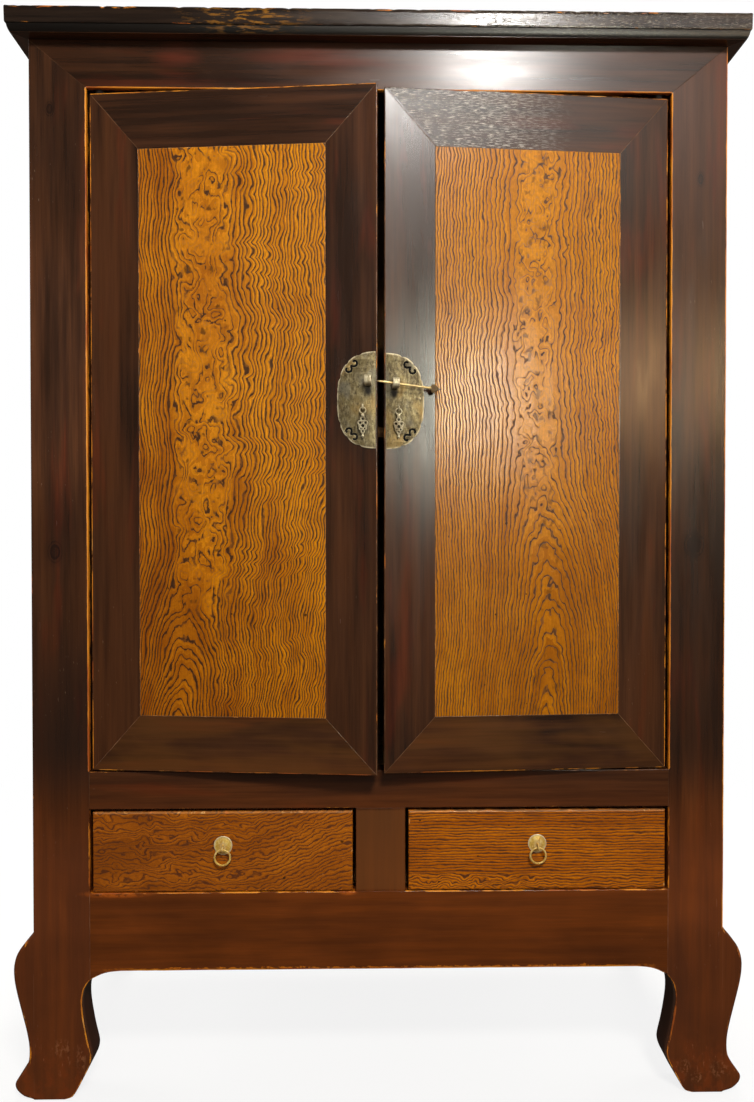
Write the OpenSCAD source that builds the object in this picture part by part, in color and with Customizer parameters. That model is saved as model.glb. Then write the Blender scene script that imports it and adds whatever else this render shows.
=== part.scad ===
// Two-door wedding cabinet with two drawers on curved legs.
// Millimetres, +Z up, front towards -Y. The doors stand a little ajar.

/* [Carcass] */
// Width across the moulded top
top_w = 1250; // [1200:1:1300]
// Depth of the carcass from the face frame to the back
depth = 550; // [520:1:580]
// Overhang of the top at the front and the sides
overhang = 30; // [24:1:36]
// Overhang of the top at the back
back_overhang = 6; // [0:1:12]
// Height of the edge of the top
top_t = 42; // [36:1:48]
// Width of the members of the top frame
top_frame_w = 95; // [80:1:110]
// Width of a front post
post_w = 96.5; // [88:0.5:104]
// Thickness of a front post, front to back
post_t = 60; // [56:1:66]
// Side of a square back post
back_post = 60; // [54:1:66]
// Thickness of the front rails
rail_t = 40; // [36:1:44]
// Thickness of the side and back rails
frame_t = 30; // [26:1:32]
// Thickness of the side and back panels
skin_t = 10; // [8:1:12]

/* [Front heights] */
// Height of the lower rail above the floor
leg_h = 221; // [200:1:240]
// Height of the lower rail
apron_h = 135; // [120:1:150]
// Height of the drawer openings
drawer_open_h = 144; // [130:1:160]
// Height of the middle rail
mid_rail_h = 65; // [58:1:75]
// Height of the door opening
door_open_h = 1161; // [1100:1:1220]
// Height of the upper rail
upper_rail_h = 80; // [70:1:90]
// Width of the divider between the drawers
divider_w = 85; // [76:1:94]

/* [Doors] */
// Thickness of a door
door_t = 26; // [24:1:28]
// Gap between a door and its post
hinge_gap = 6.6; // [6.4:0.1:7.4]
// Gap between the two closed doors
meet_gap = 6.6; // [6:0.1:9]
// Gap above a door
door_gap_top = 9; // [7:0.5:11]
// Gap under a door
door_gap_bottom = 2.5; // [2:0.5:4]
// Width of the stile that carries the pivots
hinge_stile_w = 84; // [76:1:92]
// Width of the stile at the middle
meet_stile_w = 86.5; // [80:0.5:94]
// Height of the top rail of a door
door_top_h = 96; // [88:1:104]
// Height of the bottom rail of a door
door_bottom_h = 95; // [88:1:104]
// Diameter of the wooden pivots
pivot_d = 14; // [12:1:14]
// Distance of the pivot axis from the edge of the door
pivot_e = 13; // [12:0.5:13]
// Opening angle of the left door as it stands
open_left = 5.6; // [0:0.1:8]
// Opening angle of the right door as it stands
open_right = 4; // [0:0.1:8]

/* [Drawers] */
// Gap at each side of a drawer front
drawer_gap = 5.5; // [4:0.5:7]
// Thickness of a drawer front
drawer_front_t = 22; // [20:1:26]
// Thickness of the drawer sides and back
drawer_side_t = 12; // [10:1:14]
// Length of a drawer from its front face to its back
drawer_l = 470; // [420:1:480]
// Thickness of a drawer bottom
drawer_bottom_t = 8; // [6:1:10]

/* [Brass] */
// Thickness of the lock plates
plate_t = 1.5; // [1.2:0.1:2]
// Half height of the pair of lock plates
plate_hz = 81; // [76:1:86]
// Height of the middle of the lock plates above the floor
plate_z = 1194; // [1180:1:1210]
// Diameter of the lock pin
pin_d = 4.2; // [3.6:0.2:4.2]
// Length of the lock pin without its head
pin_l = 88; // [84:1:92]
// How far the lock pin is drawn out to the right as it stands
pin_out = 50; // [49:1:64]
// Diameter of a drawer rosette
rosette_d = 32; // [28:1:36]
// Diameter of a pull ring, middle of the wire
ring_d = 26.5; // [24:0.5:30]
// Wire diameter of a pull ring
ring_wire = 3.5; // [3:0.1:3.6]

/* [Hidden] */

lacquer = [0.17, 0.08, 0.05];
lacquer_warm = [0.27, 0.12, 0.06];
burl = [0.72, 0.45, 0.16];
plain_wood = [0.55, 0.36, 0.2];
brass = [0.5, 0.42, 0.24];
fit = 0.2;

// plan of the front
cw = top_w / 2 - overhang;
xi = cw - post_w;
z_apron = leg_h;
z_drawer = z_apron + apron_h;
z_mid = z_drawer + drawer_open_h;
z_door = z_mid + mid_rail_h;
z_upper = z_door + door_open_h;
z_car = z_upper + upper_rail_h;
z_top = z_car + top_t;
yb = depth;
bpx = cw - back_post;
bpy = depth - back_post;

// doors, drawn closed on the right and mirrored for the left
hx = xi - hinge_gap;
mx = meet_gap / 2;
door_w = hx - mx;
zd0 = z_door + door_gap_bottom;
zd1 = z_upper - door_gap_top;
ax = hx - pivot_e;
ay = door_t / 2;

// lock eyes: hole sizes, places from the hinge edge and heights
eye_y = 20;
eye_z = 11.5;
eye_s = 2.4;
eye_w = 11;
eye_left = [474.8, plate_z + 30.9];
eye_right = [471, plate_z + 28.4];
pull_s = 465;
pull_z = plate_z - 12;
eye_cy = -(plate_t + eye_s + eye_y / 2);
pin_plan = 2.5;
pin_slope = 6.5;

// drawers
dx0 = divider_w / 2 + drawer_gap;
dx1 = xi - drawer_gap;
dz0 = z_drawer + 1.5;
dz1 = z_mid - 5;
dxc = (dx0 + dx1) / 2;
ros_z = (dz0 + dz1) / 2 + 11;
run_z = dz0 - 0.3;
rail_b0 = z_drawer - 92;
rail_b1 = z_drawer - 22;

// the middle of the whole depth, from the foremost point of the left lock eye to the back of the top
eye_fx = hx - eye_left[0] - eye_w / 2;
y_min = ay - (ax - eye_fx) * sin(open_left) + (eye_cy - eye_y / 2 - eye_s - ay) * cos(open_left);
y_max = depth + back_overhang;
shift_y = -(y_min + y_max) / 2;

// smooth curve through a list of points
function cr(a, b, c, d, t) = 0.5 * (2 * b + (c - a) * t + (2 * a - 5 * b + 4 * c - d) * t * t + (3 * b - a - 3 * c + d) * t * t * t);
function spline(p, n) = [for (i = [0:len(p) - 2]) for (j = [0:n - 1])
  cr(p[max(i - 1, 0)], p[i], p[i + 1], p[min(i + 2, len(p) - 1)], j / n), p[len(p) - 1]];

module box(a, b) translate(a) cube([b[0] - a[0], b[1] - a[1], b[2] - a[2]]);
// front-view outline, given in x and z, as a board from y0 to y1
module board(y0, y1) translate([0, y1, 0]) rotate([90, 0, 0]) linear_extrude(y1 - y0) children();
module mirrored(side) mirror([side < 0 ? 1 : 0, 0, 0]) children();
module carcass(side = 1) translate([0, shift_y, 0]) mirrored(side) children();
module door(side) translate([0, shift_y, 0]) mirrored(side)
  translate([ax, ay, 0]) rotate([0, 0, side < 0 ? open_left : open_right]) translate([-ax, -ay, 0]) children();

// ---- top ----
top_y0 = -overhang;
top_y1 = depth + back_overhang;
top_len_y = top_y1 - top_y0;
tongue0 = 18;
tongue1 = 24;

// outline of an edge: rounded upper corner, upright face, small step and a cove
edge = concat([[top_frame_w, 0], [7, 0]],
  spline([[7, 0], [5.6, 3], [4.2, 6.5], [3.2, 10], [2.6, 13]], 3),
  [[0, 13.6]],
  [[0, top_t - 3], [0.9, top_t - 0.9], [3, top_t], [top_frame_w, top_t]]);
plain_edge = [[top_frame_w, 0], [0, 0], [0, top_t - 2], [2, top_t], [top_frame_w, top_t]];

// member along x, outer edge at y = 0, mitred at both ends
module top_member(l, prof) difference() {
  intersection() {
    translate([-l / 2, 0, 0]) rotate([90, 0, 90]) linear_extrude(l) polygon(prof);
    translate([0, 0, -1]) linear_extrude(top_t + 2)
      polygon([[-l / 2, 0], [l / 2, 0], [l / 2 - top_frame_w, top_frame_w], [-l / 2 + top_frame_w, top_frame_w]]);
  }
  box([-l, top_frame_w - 9, tongue0 - 0.1], [l, top_frame_w + 1, tongue1 + 0.1]);
}
module post_tenon(c) for (s = [-1, 1]) {
  box([s * (cw - 24) - 14 - c, 24 - c, z_car], [s * (cw - 24) + 14 + c, 48 + c, z_car + 22 + c]);
  box([s * (cw - 24) - 14 - c, yb - 42 - c, z_car], [s * (cw - 24) + 14 + c, yb - 18 + c, z_car + 22 + c]);
}
bat_x = [-top_w / 6, top_w / 6];
module batten_ends(c) for (x = bat_x) for (y = [top_y0 + top_frame_w - 12, top_y1 - top_frame_w])
  box([x - 15 - c, y - c, z_car + 5 - c], [x + 15 + c, y + 12 + c, z_car + 15 + c]);
module top_front() color(lacquer) carcass() difference() {
  translate([0, top_y0, z_car]) top_member(top_w, edge);
  post_tenon(fit);
  batten_ends(fit);
}
module top_back() color(lacquer) carcass() difference() {
  translate([0, top_y1, z_car]) mirror([0, 1, 0]) top_member(top_w, plain_edge);
  post_tenon(fit);
  batten_ends(fit);
}
module top_side(side) color(lacquer) carcass(side) difference() {
  translate([top_w / 2, (top_y0 + top_y1) / 2, z_car]) rotate([0, 0, 90]) top_member(top_len_y, edge);
  post_tenon(fit);
}
module top_left() top_side(-1);
module top_right() top_side(1);
module top_panel() color(lacquer) carcass() {
  fx = top_w / 2 - top_frame_w;
  fy0 = top_y0 + top_frame_w;
  fy1 = top_y1 - top_frame_w;
  union() {
    box([-fx, fy0, z_car + tongue0], [fx, fy1, z_top]);
    box([-fx - 8, fy0 - 8, z_car + tongue0], [fx + 8, fy1 + 8, z_car + tongue1]);
  }
}
module top_battens() color(plain_wood) carcass() union() {
  for (x = bat_x) box([x - 20, top_y0 + top_frame_w, z_car + 2], [x + 20, top_y1 - top_frame_w, z_car + tongue0]);
  batten_ends(0);
}

// ---- posts ----
lk = leg_h / 221;
// outer edge of the leg: knee, ankle, toe
leg_out = spline([for (p = [[0, 290], [4, 284], [14, 272], [28, 252], [34, 232], [34, 210], [30, 186], [22, 153],
  [13, 116], [9, 90], [10, 67], [16, 53], [27, 37], [33, 27], [30, 16], [18, 5], [2, 0]]) [p[0], p[1] * lk]], 3);
// inner edge of the leg from the sole up to the lower rail
leg_in = spline([for (p = [[-54, 0], [-65, 4], [-74, 17], [-84, 36], [-94, 56], [-97, 69], [-96, 80], [-91, 101],
  [-87, 122], [-83, 148], [-82, 170], [-85, 188], [-91, 199], [-96.5, 206]]) [p[0], p[1] * lk]], 3);
// the bulge outside the line of the post is a block of its own, glued on with a thin glue line
glue = 0.1;
module leg_block() board(0, post_t) translate([cw, 0])
  polygon(concat([for (p = leg_out) [max(p[0], glue), p[1]]], [[glue, 0]]));
module straight_post() difference() {
  union() {
    board(0, post_t) translate([cw, 0]) polygon(concat([[-post_w, z_car], [0, z_car], [0, 0]], leg_in));
    intersection() { post_tenon(0); box([0, 0, z_car - 1], [cw, post_t, z_top]); }
  }
  // seat of the mitred upper rail
  board(-1, rail_t) polygon([[cw, z_car + 0.001], [xi - 1, z_car + 0.001], [xi - 1, z_upper - upper_rail_h / post_w], [xi, z_upper]]);
  box([xi - 1, 14 - fit, z_upper + 4 - fit], [xi + 52 + fit, 26 + fit, z_upper + 22 + fit]);
  // mortises of the middle rail, the lower rail and the side rails
  box([xi - 1, 14 - fit, z_mid + 10 - fit], [xi + 40 + fit, 26 + fit, z_door - 10 + fit]);
  box([xi - 1, 14 - fit, z_apron + 24 - fit], [xi + 40 + fit, 26 + fit, z_drawer - 20 + fit]);
  side_mortises();
  panel_groove_y(post_t - 8.5, post_t + 1);
}
module front_post(side) color(lacquer) carcass(side) {
  straight_post();
  leg_block();
}
module front_left_post() front_post(-1);
module front_right_post() front_post(1);

// side frame: places across x and heights
sx1 = cw - 3;
sx0 = sx1 - frame_t;
px0 = (sx0 + sx1) / 2 - skin_t / 2;
px1 = px0 + skin_t;
rail_z = [[rail_b0, rail_b1], [z_mid, z_door], [z_upper, z_car]];
panel_z = [[rail_b1 - 8, z_mid + 8], [z_door - 8, z_upper + 8]];
module side_mortises() for (r = rail_z) for (y = [post_t - 19, bpy - 1])
  box([px0 - 1 - fit, y - fit, r[0] + 10 - fit], [px1 + 1 + fit, y + 26, r[1] - 10 + fit]);
module panel_groove_y(y0, y1) for (r = panel_z)
  box([px0 - fit, y0, r[0] - fit], [px1 + fit, y1, r[1] + fit]);
by1 = depth - 10;
by0 = by1 - frame_t;
qy0 = (by0 + by1) / 2 - skin_t / 2;
qy1 = qy0 + skin_t;
module back_post_shape(side) color(lacquer_warm) carcass(side) difference() {
  union() {
    box([bpx, bpy, 0], [cw, yb, z_car]);
    intersection() { post_tenon(0); box([0, bpy, z_car - 1], [cw, yb, z_top]); }
  }
  side_mortises();
  panel_groove_y(bpy - 1, bpy + 8.5);
  for (r = rail_z) box([bpx - 1, qy0 - 1 - fit, r[0] + 10 - fit], [bpx + 25 + fit, qy1 + 1 + fit, r[1] - 10 + fit]);
  for (r = panel_z) box([bpx - 1, qy0 - fit, r[0] - fit], [bpx + 8.5, qy1 + fit, r[1] + fit]);
}
module back_left_post() back_post_shape(-1);
module back_right_post() back_post_shape(1);

// ---- front rails ----
module upper_rail() color(lacquer) carcass() difference() {
  union() {
    board(0, rail_t) polygon([[-cw, z_car], [cw, z_car], [xi, z_upper], [-xi, z_upper]]);
    box([-xi - 52, 14, z_upper + 4], [xi + 52, 26, z_upper + 22]);
  }
  // blind sockets of the upper door pivots, deep enough to lift a door out
  for (s = [-1, 1]) translate([s * ax, ay, z_upper - 1]) cylinder(d = pivot_d + 0.12, h = 28, $fn = 64);
}
module middle_rail() color(lacquer) carcass() difference() {
  union() {
    box([-xi, 0, z_mid], [xi, rail_t, z_door]);
    box([-xi - 40, 14, z_mid + 10], [xi + 40, 26, z_door - 10]);
  }
  for (s = [-1, 1]) translate([s * ax, ay, z_door - 6.2]) cylinder(d = pivot_d + 0.12, h = 8, $fn = 64);
  box([-30 - fit, 14 - fit, z_mid - 1], [30 + fit, 26 + fit, z_mid + 15 + fit]);
}
module drawer_divider() color(lacquer) carcass() union() {
  box([-divider_w / 2, 0, z_drawer], [divider_w / 2, rail_t, z_mid]);
  box([-30, 14, z_drawer - 15], [30, 26, z_mid + 15]);
}
// lower edge of the apron, dropping to the legs in a short curve
apron_end = spline([[xi - 52, z_apron], [xi - 34, z_apron - 1.5], [xi - 20, z_apron - 5], [xi - 9, z_apron - 10], [xi - 3, z_apron - 13], [xi, z_apron - 15]], 3);
module runner_tenons(c) for (x = [-484, -50, 50, 484])
  box([x - 12 - c, rail_t - 12 - c, rail_b1 + 4 - c], [x + 12 + c, rail_t + 2, rail_b1 + 16 + c]);
module apron() color(lacquer_warm) carcass() difference() {
  union() {
    board(0, rail_t) polygon(concat([[-xi, z_drawer], [xi, z_drawer]],
      [for (i = [len(apron_end) - 1:-1:0]) apron_end[i]], [for (p = apron_end) [-p[0], p[1]]]));
    box([-xi - 40, 14, z_apron + 24], [xi + 40, 26, z_drawer - 20]);
  }
  box([-30 - fit, 14 - fit, z_drawer - 15 - fit], [30 + fit, 26 + fit, z_drawer + 1]);
  runner_tenons(fit);
}

// ---- sides and back ----
module side_rails(side) color(lacquer) carcass(side) for (i = [0:2]) difference() {
  union() {
    box([sx0, post_t, rail_z[i][0]], [sx1, bpy, rail_z[i][1]]);
    box([px0 - 1, post_t - 19, rail_z[i][0] + 10], [px1 + 1, bpy + 24.8, rail_z[i][1] - 10]);
  }
  if (i < 2) box([px0 - fit, post_t - 1, rail_z[i][1] - 8 - fit], [px1 + fit, bpy + 1, rail_z[i][1] + 1]);
  if (i > 0) box([px0 - fit, post_t - 1, rail_z[i][0] - 1], [px1 + fit, bpy + 1, rail_z[i][0] + 8 + fit]);
}
module left_side_rails() side_rails(-1);
module right_side_rails() side_rails(1);
module side_panels(side) color(lacquer) carcass(side)
  for (r = panel_z) box([px0, post_t - 8, r[0]], [px1, bpy + 8, r[1]]);
module left_side_panels() side_panels(-1);
module right_side_panels() side_panels(1);
module back_rails() color(lacquer_warm) carcass() for (i = [0:2]) difference() {
  union() {
    box([-bpx, i == 0 ? by0 - 20 : by0, rail_z[i][0]], [bpx, by1, rail_z[i][1]]);
    box([-bpx - 25, qy0 - 1, rail_z[i][0] + 10], [bpx + 25, qy1 + 1, rail_z[i][1] - 10]);
  }
  if (i < 2) box([-bpx - 1, qy0 - fit, rail_z[i][1] - 8 - fit], [bpx + 1, qy1 + fit, rail_z[i][1] + 1]);
  if (i > 0) box([-bpx - 1, qy0 - fit, rail_z[i][0] - 1], [bpx + 1, qy1 + fit, rail_z[i][0] + 8 + fit]);
}
module back_panels() color(plain_wood) carcass()
  for (r = panel_z) box([-bpx - 8, qy0, r[0]], [bpx + 8, qy1, r[1]]);

// ---- inside ----
module cupboard_floor() color(plain_wood) carcass() difference() {
  box([-sx0 + 1, rail_t, z_door - 18], [sx0 - 1, by0, z_door]);
  for (s = [-1, 1]) {
    box([s > 0 ? xi : -cw, rail_t - 1, z_door - 19], [s > 0 ? cw : -xi, post_t, z_door + 1]);
    box([s > 0 ? bpx : -cw, bpy, z_door - 19], [s > 0 ? cw : -bpx, yb, z_door + 1]);
  }
}
module floor_bearers() color(plain_wood) carcass() union() {
  box([-20, rail_t, z_mid + 14], [20, by0, z_door - 18]);
  for (s = [-1, 1]) box([s > 0 ? sx0 - 30 : -sx0, post_t, z_mid + 14], [s > 0 ? sx0 : -sx0 + 30, bpy, z_door - 18]);
}
shelf_z = 1140;
module shelf() color(plain_wood) carcass() difference() {
  box([-px0 + 2, door_t + 2, shelf_z], [px0 - 2, qy0 - 2, shelf_z + 18]);
  for (s = [-1, 1]) {
    box([s > 0 ? xi - 40 : -cw, 0, shelf_z - 1], [s > 0 ? cw : -xi + 40, post_t + 2, shelf_z + 19]);
    box([s > 0 ? bpx - 2 : -cw, bpy - 2, shelf_z - 1], [s > 0 ? cw : -bpx + 2, yb, shelf_z + 19]);
  }
}
module shelf_bearers() color(plain_wood) carcass()
  for (s = [-1, 1]) box([s > 0 ? px0 - 28 : -px0, post_t, shelf_z - 30], [s > 0 ? px0 : -px0 + 28, bpy, shelf_z]);
module drawer_runners() color(plain_wood) carcass() {
  difference() {
    union() {
      for (s = [-1, 1]) box([s > 0 ? 455 : -515, rail_t, rail_b1], [s > 0 ? 515 : -455, by0, run_z]);
      box([-80, rail_t, rail_b1], [80, by0, run_z]);
      runner_tenons(0);
    }
    for (s = [-1, 1]) box([s > 0 ? xi - 0.2 : -cw, 0, rail_b1 - 1], [s > 0 ? cw : -xi + 0.2, post_t, run_z + 1]);
  }
}
module drawer_guides() color(plain_wood) carcass() {
  box([-dx0 + 1.5, rail_t, run_z], [dx0 - 1.5, by0 - 10, run_z + 22]);
  for (s = [-1, 1]) {
    box([s > 0 ? dx1 + 1.5 : -515, post_t, run_z], [s > 0 ? 515 : -dx1 - 1.5, by0 - 10, run_z + 22]);
    // stops behind the closed drawers
    box([s > 0 ? 460 : -480, drawer_l + 1, run_z], [s > 0 ? 480 : -460, drawer_l + 21, run_z + 18]);
    box([s > 0 ? 56 : -76, drawer_l + 1, run_z], [s > 0 ? 76 : -56, drawer_l + 21, run_z + 18]);
  }
}

// ---- doors ----
ix0 = mx + meet_stile_w;
ix1 = hx - hinge_stile_w;
iz0 = zd0 + door_bottom_h;
iz1 = zd1 - door_top_h;
gy0 = 7;
gy1 = 12;
module panel_groove() box([ix0 - 8.5, gy0 - 0.1, iz0 - 8.5], [ix1 + 8.5, gy1 + 0.1, iz1 + 8.5]);
// tongues of the door rails inside the mitred corners
module corner_tenons(c) for (x = [[ix1 - 1, ix1 + 46 + c], [ix0 - 46 - c, ix0 + 1]])
  for (z = [[iz1 + 10 - c, iz1 + 28 + c], [iz0 - 28 - c, iz0 - 10 + c]])
    box([x[0], 15 - c, z[0]], [x[1], 21 + c, z[1]]);
pivot_in = 45;
module door_hinge_stile(side) color(lacquer) door(side) union() {
  difference() {
    board(0, door_t) polygon([[hx, zd0], [hx, zd1], [ix1, iz1], [ix1, iz0]]);
    panel_groove();
    corner_tenons(fit);
  }
  // pivots, run through the mitred corners of the rails into the stile
  translate([ax, ay, zd1 - pivot_in]) cylinder(d = pivot_d, h = pivot_in + door_gap_top + 18, $fn = 64);
  translate([ax, ay, zd0 - door_gap_bottom - 6]) cylinder(d = pivot_d, h = 6 + door_gap_bottom + pivot_in, $fn = 64);
}
module door_meeting_stile(side, eye) color(lacquer) door(side) difference() {
  board(0, door_t) polygon([[mx, zd0], [mx, zd1], [ix0, iz1], [ix0, iz0]]);
  panel_groove();
  corner_tenons(fit);
  shank_holes(eye);
}
module door_rail(side, top) color(lacquer) door(side) difference() {
  union() {
    board(0, door_t) polygon(top ? [[mx, zd1], [hx, zd1], [ix1, iz1], [ix0, iz1]] : [[mx, zd0], [hx, zd0], [ix1, iz0], [ix0, iz0]]);
    intersection() {
      corner_tenons(0);
      box([0, 0, top ? iz1 : zd0], [cw, door_t, top ? zd1 : iz0]);
    }
  }
  panel_groove();
  translate([ax, ay, top ? zd1 - pivot_in : zd0 - 1]) cylinder(d = pivot_d + 2 * fit, h = pivot_in + 1, $fn = 64);
}
module door_panel(side) color(burl) door(side) union() {
  box([ix0, 0, iz0], [ix1, gy1, iz1]);
  box([ix0 - 8, gy0, iz0 - 8], [ix1 + 8, gy1, iz1 + 8]);
}
module door_battens(side) color(plain_wood) door(side)
  for (k = [0.14, 0.5, 0.86]) box([ix0, gy1, iz0 + (iz1 - iz0) * k - 20], [ix1, door_t, iz0 + (iz1 - iz0) * k + 20]);

module left_door_hinge_stile() door_hinge_stile(-1);
module left_door_meeting_stile() door_meeting_stile(-1, eye_left);
module left_door_top_rail() door_rail(-1, true);
module left_door_bottom_rail() door_rail(-1, false);
module left_door_panel() door_panel(-1);
module left_door_battens() door_battens(-1);
module right_door_hinge_stile() door_hinge_stile(1);
module right_door_meeting_stile() door_meeting_stile(1, eye_right);
module right_door_top_rail() door_rail(1, true);
module right_door_bottom_rail() door_rail(1, false);
module right_door_panel() door_panel(1);
module right_door_battens() door_battens(1);

// ---- lock ----
// slots for the flat shank of the lock eye and the round shank of the pull staple
module shank_holes(eye) {
  box([hx - eye[0] - eye_w / 2 - fit, -3, eye[1] - eye_s - fit], [hx - eye[0] + eye_w / 2 + fit, door_t + 1, eye[1] + eye_s + fit]);
  translate([hx - pull_s, -3, pull_z]) rotate([-90, 0, 0]) cylinder(d = 4.4, h = door_t + 6, $fn = 32);
}
// half of a rounded-square outline, notched like a cloud near its corners
pa = mx + 67.2;
pn = 2.65;
plate_out = concat([[mx + 2.7, -plate_hz]],
  [for (i = [10:2:170]) let (t = i - 90) [pa * pow(cos(t), 2 / pn), plate_hz * (t < 0 ? -1 : 1) * pow(abs(sin(t)), 2 / pn)]],
  [[mx + 2.7, plate_hz]]);
module lock_plate(side, eye) color(brass) door(side) difference() {
  translate([0, 0, plate_z]) board(-plate_t, 0) difference() {
    intersection() {
      polygon(plate_out);
      translate([mx + 2.7, -plate_hz]) square([80, 2 * plate_hz]);
    }
    for (s = [-1, 1]) {
      translate([62, s * 60]) circle(d = 9, $fn = 32);
      translate([50, s * 71.5]) circle(d = 7, $fn = 32);
      translate([67, s * 46]) circle(d = 7, $fn = 32);
      translate([52, s * 58]) circle(d = 5, $fn = 32);
      translate([42, s * 66]) circle(d = 4.4, $fn = 32);
      translate([58, s * 46]) circle(d = 4.4, $fn = 32);
    }
  }
  shank_holes(eye);
}
module left_lock_plate() lock_plate(-1, eye_left);
module right_lock_plate() lock_plate(1, eye_right);

// rounded rectangle in y and z, run along x
module rounded_yz(w, y, z, r) rotate([90, 0, 90]) translate([0, 0, -w / 2]) linear_extrude(w) union() {
  square([y - 2 * r, z], center = true);
  square([y, z - 2 * r], center = true);
  for (i = [-1, 1]) for (j = [-1, 1]) translate([i * (y / 2 - r), j * (z / 2 - r)]) circle(r = r, $fn = 48);
}
module lock_eye(eye) translate([hx - eye[0], 0, eye[1]]) union() {
  difference() {
    translate([0, eye_cy, 0]) rounded_yz(eye_w, eye_y + 2 * eye_s, eye_z + 2 * eye_s, 6);
    translate([0, eye_cy, 0]) rounded_yz(eye_w + 2, eye_y, eye_z, 3.6);
  }
  // shank through plate and stile, its two tails turned over behind the door
  box([-eye_w / 2, -plate_t - 1, -eye_s], [eye_w / 2, door_t + 2, eye_s]);
  box([-eye_w / 2, door_t, -22], [eye_w / 2, door_t + 2, 22]);
}
module wire_ring(r, w) rotate_extrude($fn = 64) translate([r, 0]) circle(d = w, $fn = 32);
module pull_staple() translate([hx - pull_s, 0, pull_z]) union() {
  translate([0, -plate_t - 5, 0]) rotate([0, 90, 0]) wire_ring(3.8, 2.8);
  translate([0, -plate_t - 2.4, 0]) rotate([-90, 0, 0]) cylinder(d = 4, h = door_t + plate_t + 4.2, $fn = 32);
  box([-2, door_t, -12], [2, door_t + 1.8, 12]);
}
module lock_staples(side, eye) color(brass) door(side) { lock_eye(eye); pull_staple(); }
module left_lock_staples() lock_staples(-1, eye_left);
module right_lock_staples() lock_staples(1, eye_right);

// hanging pull: small ring, bead, openwork cloud head and drop
pull_r = 5;
pull_top = -0.9;
module pull(side) color(brass) door(side)
  translate([hx - pull_s, -plate_t - 5, pull_z + pull_top]) union() {
    translate([0, 0, -pull_r]) rotate([90, 0, 0]) wire_ring(pull_r, 2.4);
    translate([0, 0, -13]) sphere(d = 6, $fn = 32);
    board(-1.1, 1.1) difference() {
      union() {
        translate([0, -19]) circle(d = 8, $fn = 40);
        translate([-4, -26]) circle(d = 8, $fn = 40);
        translate([4, -26]) circle(d = 8, $fn = 40);
        translate([0, -31]) circle(d = 9, $fn = 40);
        translate([-3, -38]) circle(d = 7, $fn = 40);
        translate([3, -38]) circle(d = 7, $fn = 40);
        translate([0, -42]) circle(d = 7, $fn = 40);
        translate([-1.6, -48]) square([3.2, 34]);
      }
      translate([-4, -26]) circle(d = 3.6, $fn = 32);
      translate([4, -26]) circle(d = 3.6, $fn = 32);
      translate([0, -32]) circle(d = 3.6, $fn = 32);
      translate([0, -20]) circle(d = 3, $fn = 32);
    }
    translate([0, 0, -47.5]) sphere(d = 4.6, $fn = 32);
  }
module left_pull() pull(-1);
module right_pull() pull(1);

// lock pin: lies through the right eye, slopes down to the right, with a leaf-shaped head
pin_x = hx - eye_right[0];
module lock_pin() color(brass) door(1)
  translate([pin_x, eye_cy - 3.5, eye_right[1] - 1.35])
  rotate([0, 0, pin_plan]) rotate([0, pin_slope, 0])
  translate([pin_out - pin_l + 6.5, 0, 0]) union() {
    translate([0, 0, 0]) rotate([0, 90, 0]) cylinder(d1 = 1.6, d2 = pin_d, h = 9, $fn = 48);
    translate([9, 0, 0]) rotate([0, 90, 0]) cylinder(d = pin_d, h = pin_l - 9 + 3, $fn = 48);
    translate([pin_l, 0, 0]) rotate([0, 90, 0]) cylinder(d = 6.4, h = 2.4, $fn = 48);
    translate([pin_l + 2, 0, 0]) board(-1.5, 1.5) polygon(leaf);
  }
leaf_half = spline([[0, 3], [3, 7], [7.5, 8.6], [12, 7], [16, 3.4], [19, 0]], 4);
leaf = concat(leaf_half, [for (i = [len(leaf_half) - 2:-1:0]) [leaf_half[i][0], -leaf_half[i][1]]]);

// ---- drawers ----
module drawer_front(side) color(burl) carcass(side) difference() {
  box([dx0, 0, dz0], [dx1, drawer_front_t, dz1]);
  // the sides lie in rebates, the bottom in a groove
  for (x = [dx0 - 1, dx1 - drawer_side_t - 0.1])
    box([x, drawer_front_t - 10, dz0 - 1], [x + drawer_side_t + 1.1, drawer_front_t + 1, dz1 - 7 + 0.1]);
  box([dx0 + 5, drawer_front_t - 5.2, dz0 + 4.4], [dx1 - 5, drawer_front_t + 1, dz0 + 4.6 + drawer_bottom_t]);
  translate([dxc, -1, ros_z]) rotate([-90, 0, 0]) cylinder(d = 4.4, h = drawer_front_t + 2, $fn = 32);
}
module drawer_sides(side) color(plain_wood) carcass(side) for (k = [0, 1]) difference() {
  box([k == 0 ? dx0 : dx1 - drawer_side_t, drawer_front_t - 10, dz0], [k == 0 ? dx0 + drawer_side_t : dx1, drawer_l, dz1 - 7]);
  box([dx0 + 6.8, drawer_front_t - 11, dz0 + 4.4], [dx1 - 6.8, drawer_l + 1, dz0 + 4.6 + drawer_bottom_t]);
}
module drawer_back(side) color(plain_wood) carcass(side)
  box([dx0 + drawer_side_t, drawer_l - drawer_side_t, dz0 + 4.6 + drawer_bottom_t], [dx1 - drawer_side_t, drawer_l, dz1 - 7]);
module drawer_bottom(side) color(plain_wood) carcass(side)
  box([dx0 + 7, drawer_front_t - 5, dz0 + 4.5], [dx1 - 7, drawer_l, dz0 + 4.5 + drawer_bottom_t]);
module drawer_rosette(side) color(brass) carcass(side)
  translate([dxc, 0, ros_z]) rotate([90, 0, 0]) rotate_extrude($fn = 96)
    polygon([[2.4, 0], [rosette_d / 2, 0], [rosette_d / 2, 0.8], [rosette_d / 2 - 2.5, 1.2], [rosette_d / 2 - 6, 2.2],
      [rosette_d / 2 - 9, 2.8], [4, 3], [2.4, 3]]);
ring_y = -9.5;
ring_drop = 4;
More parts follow.
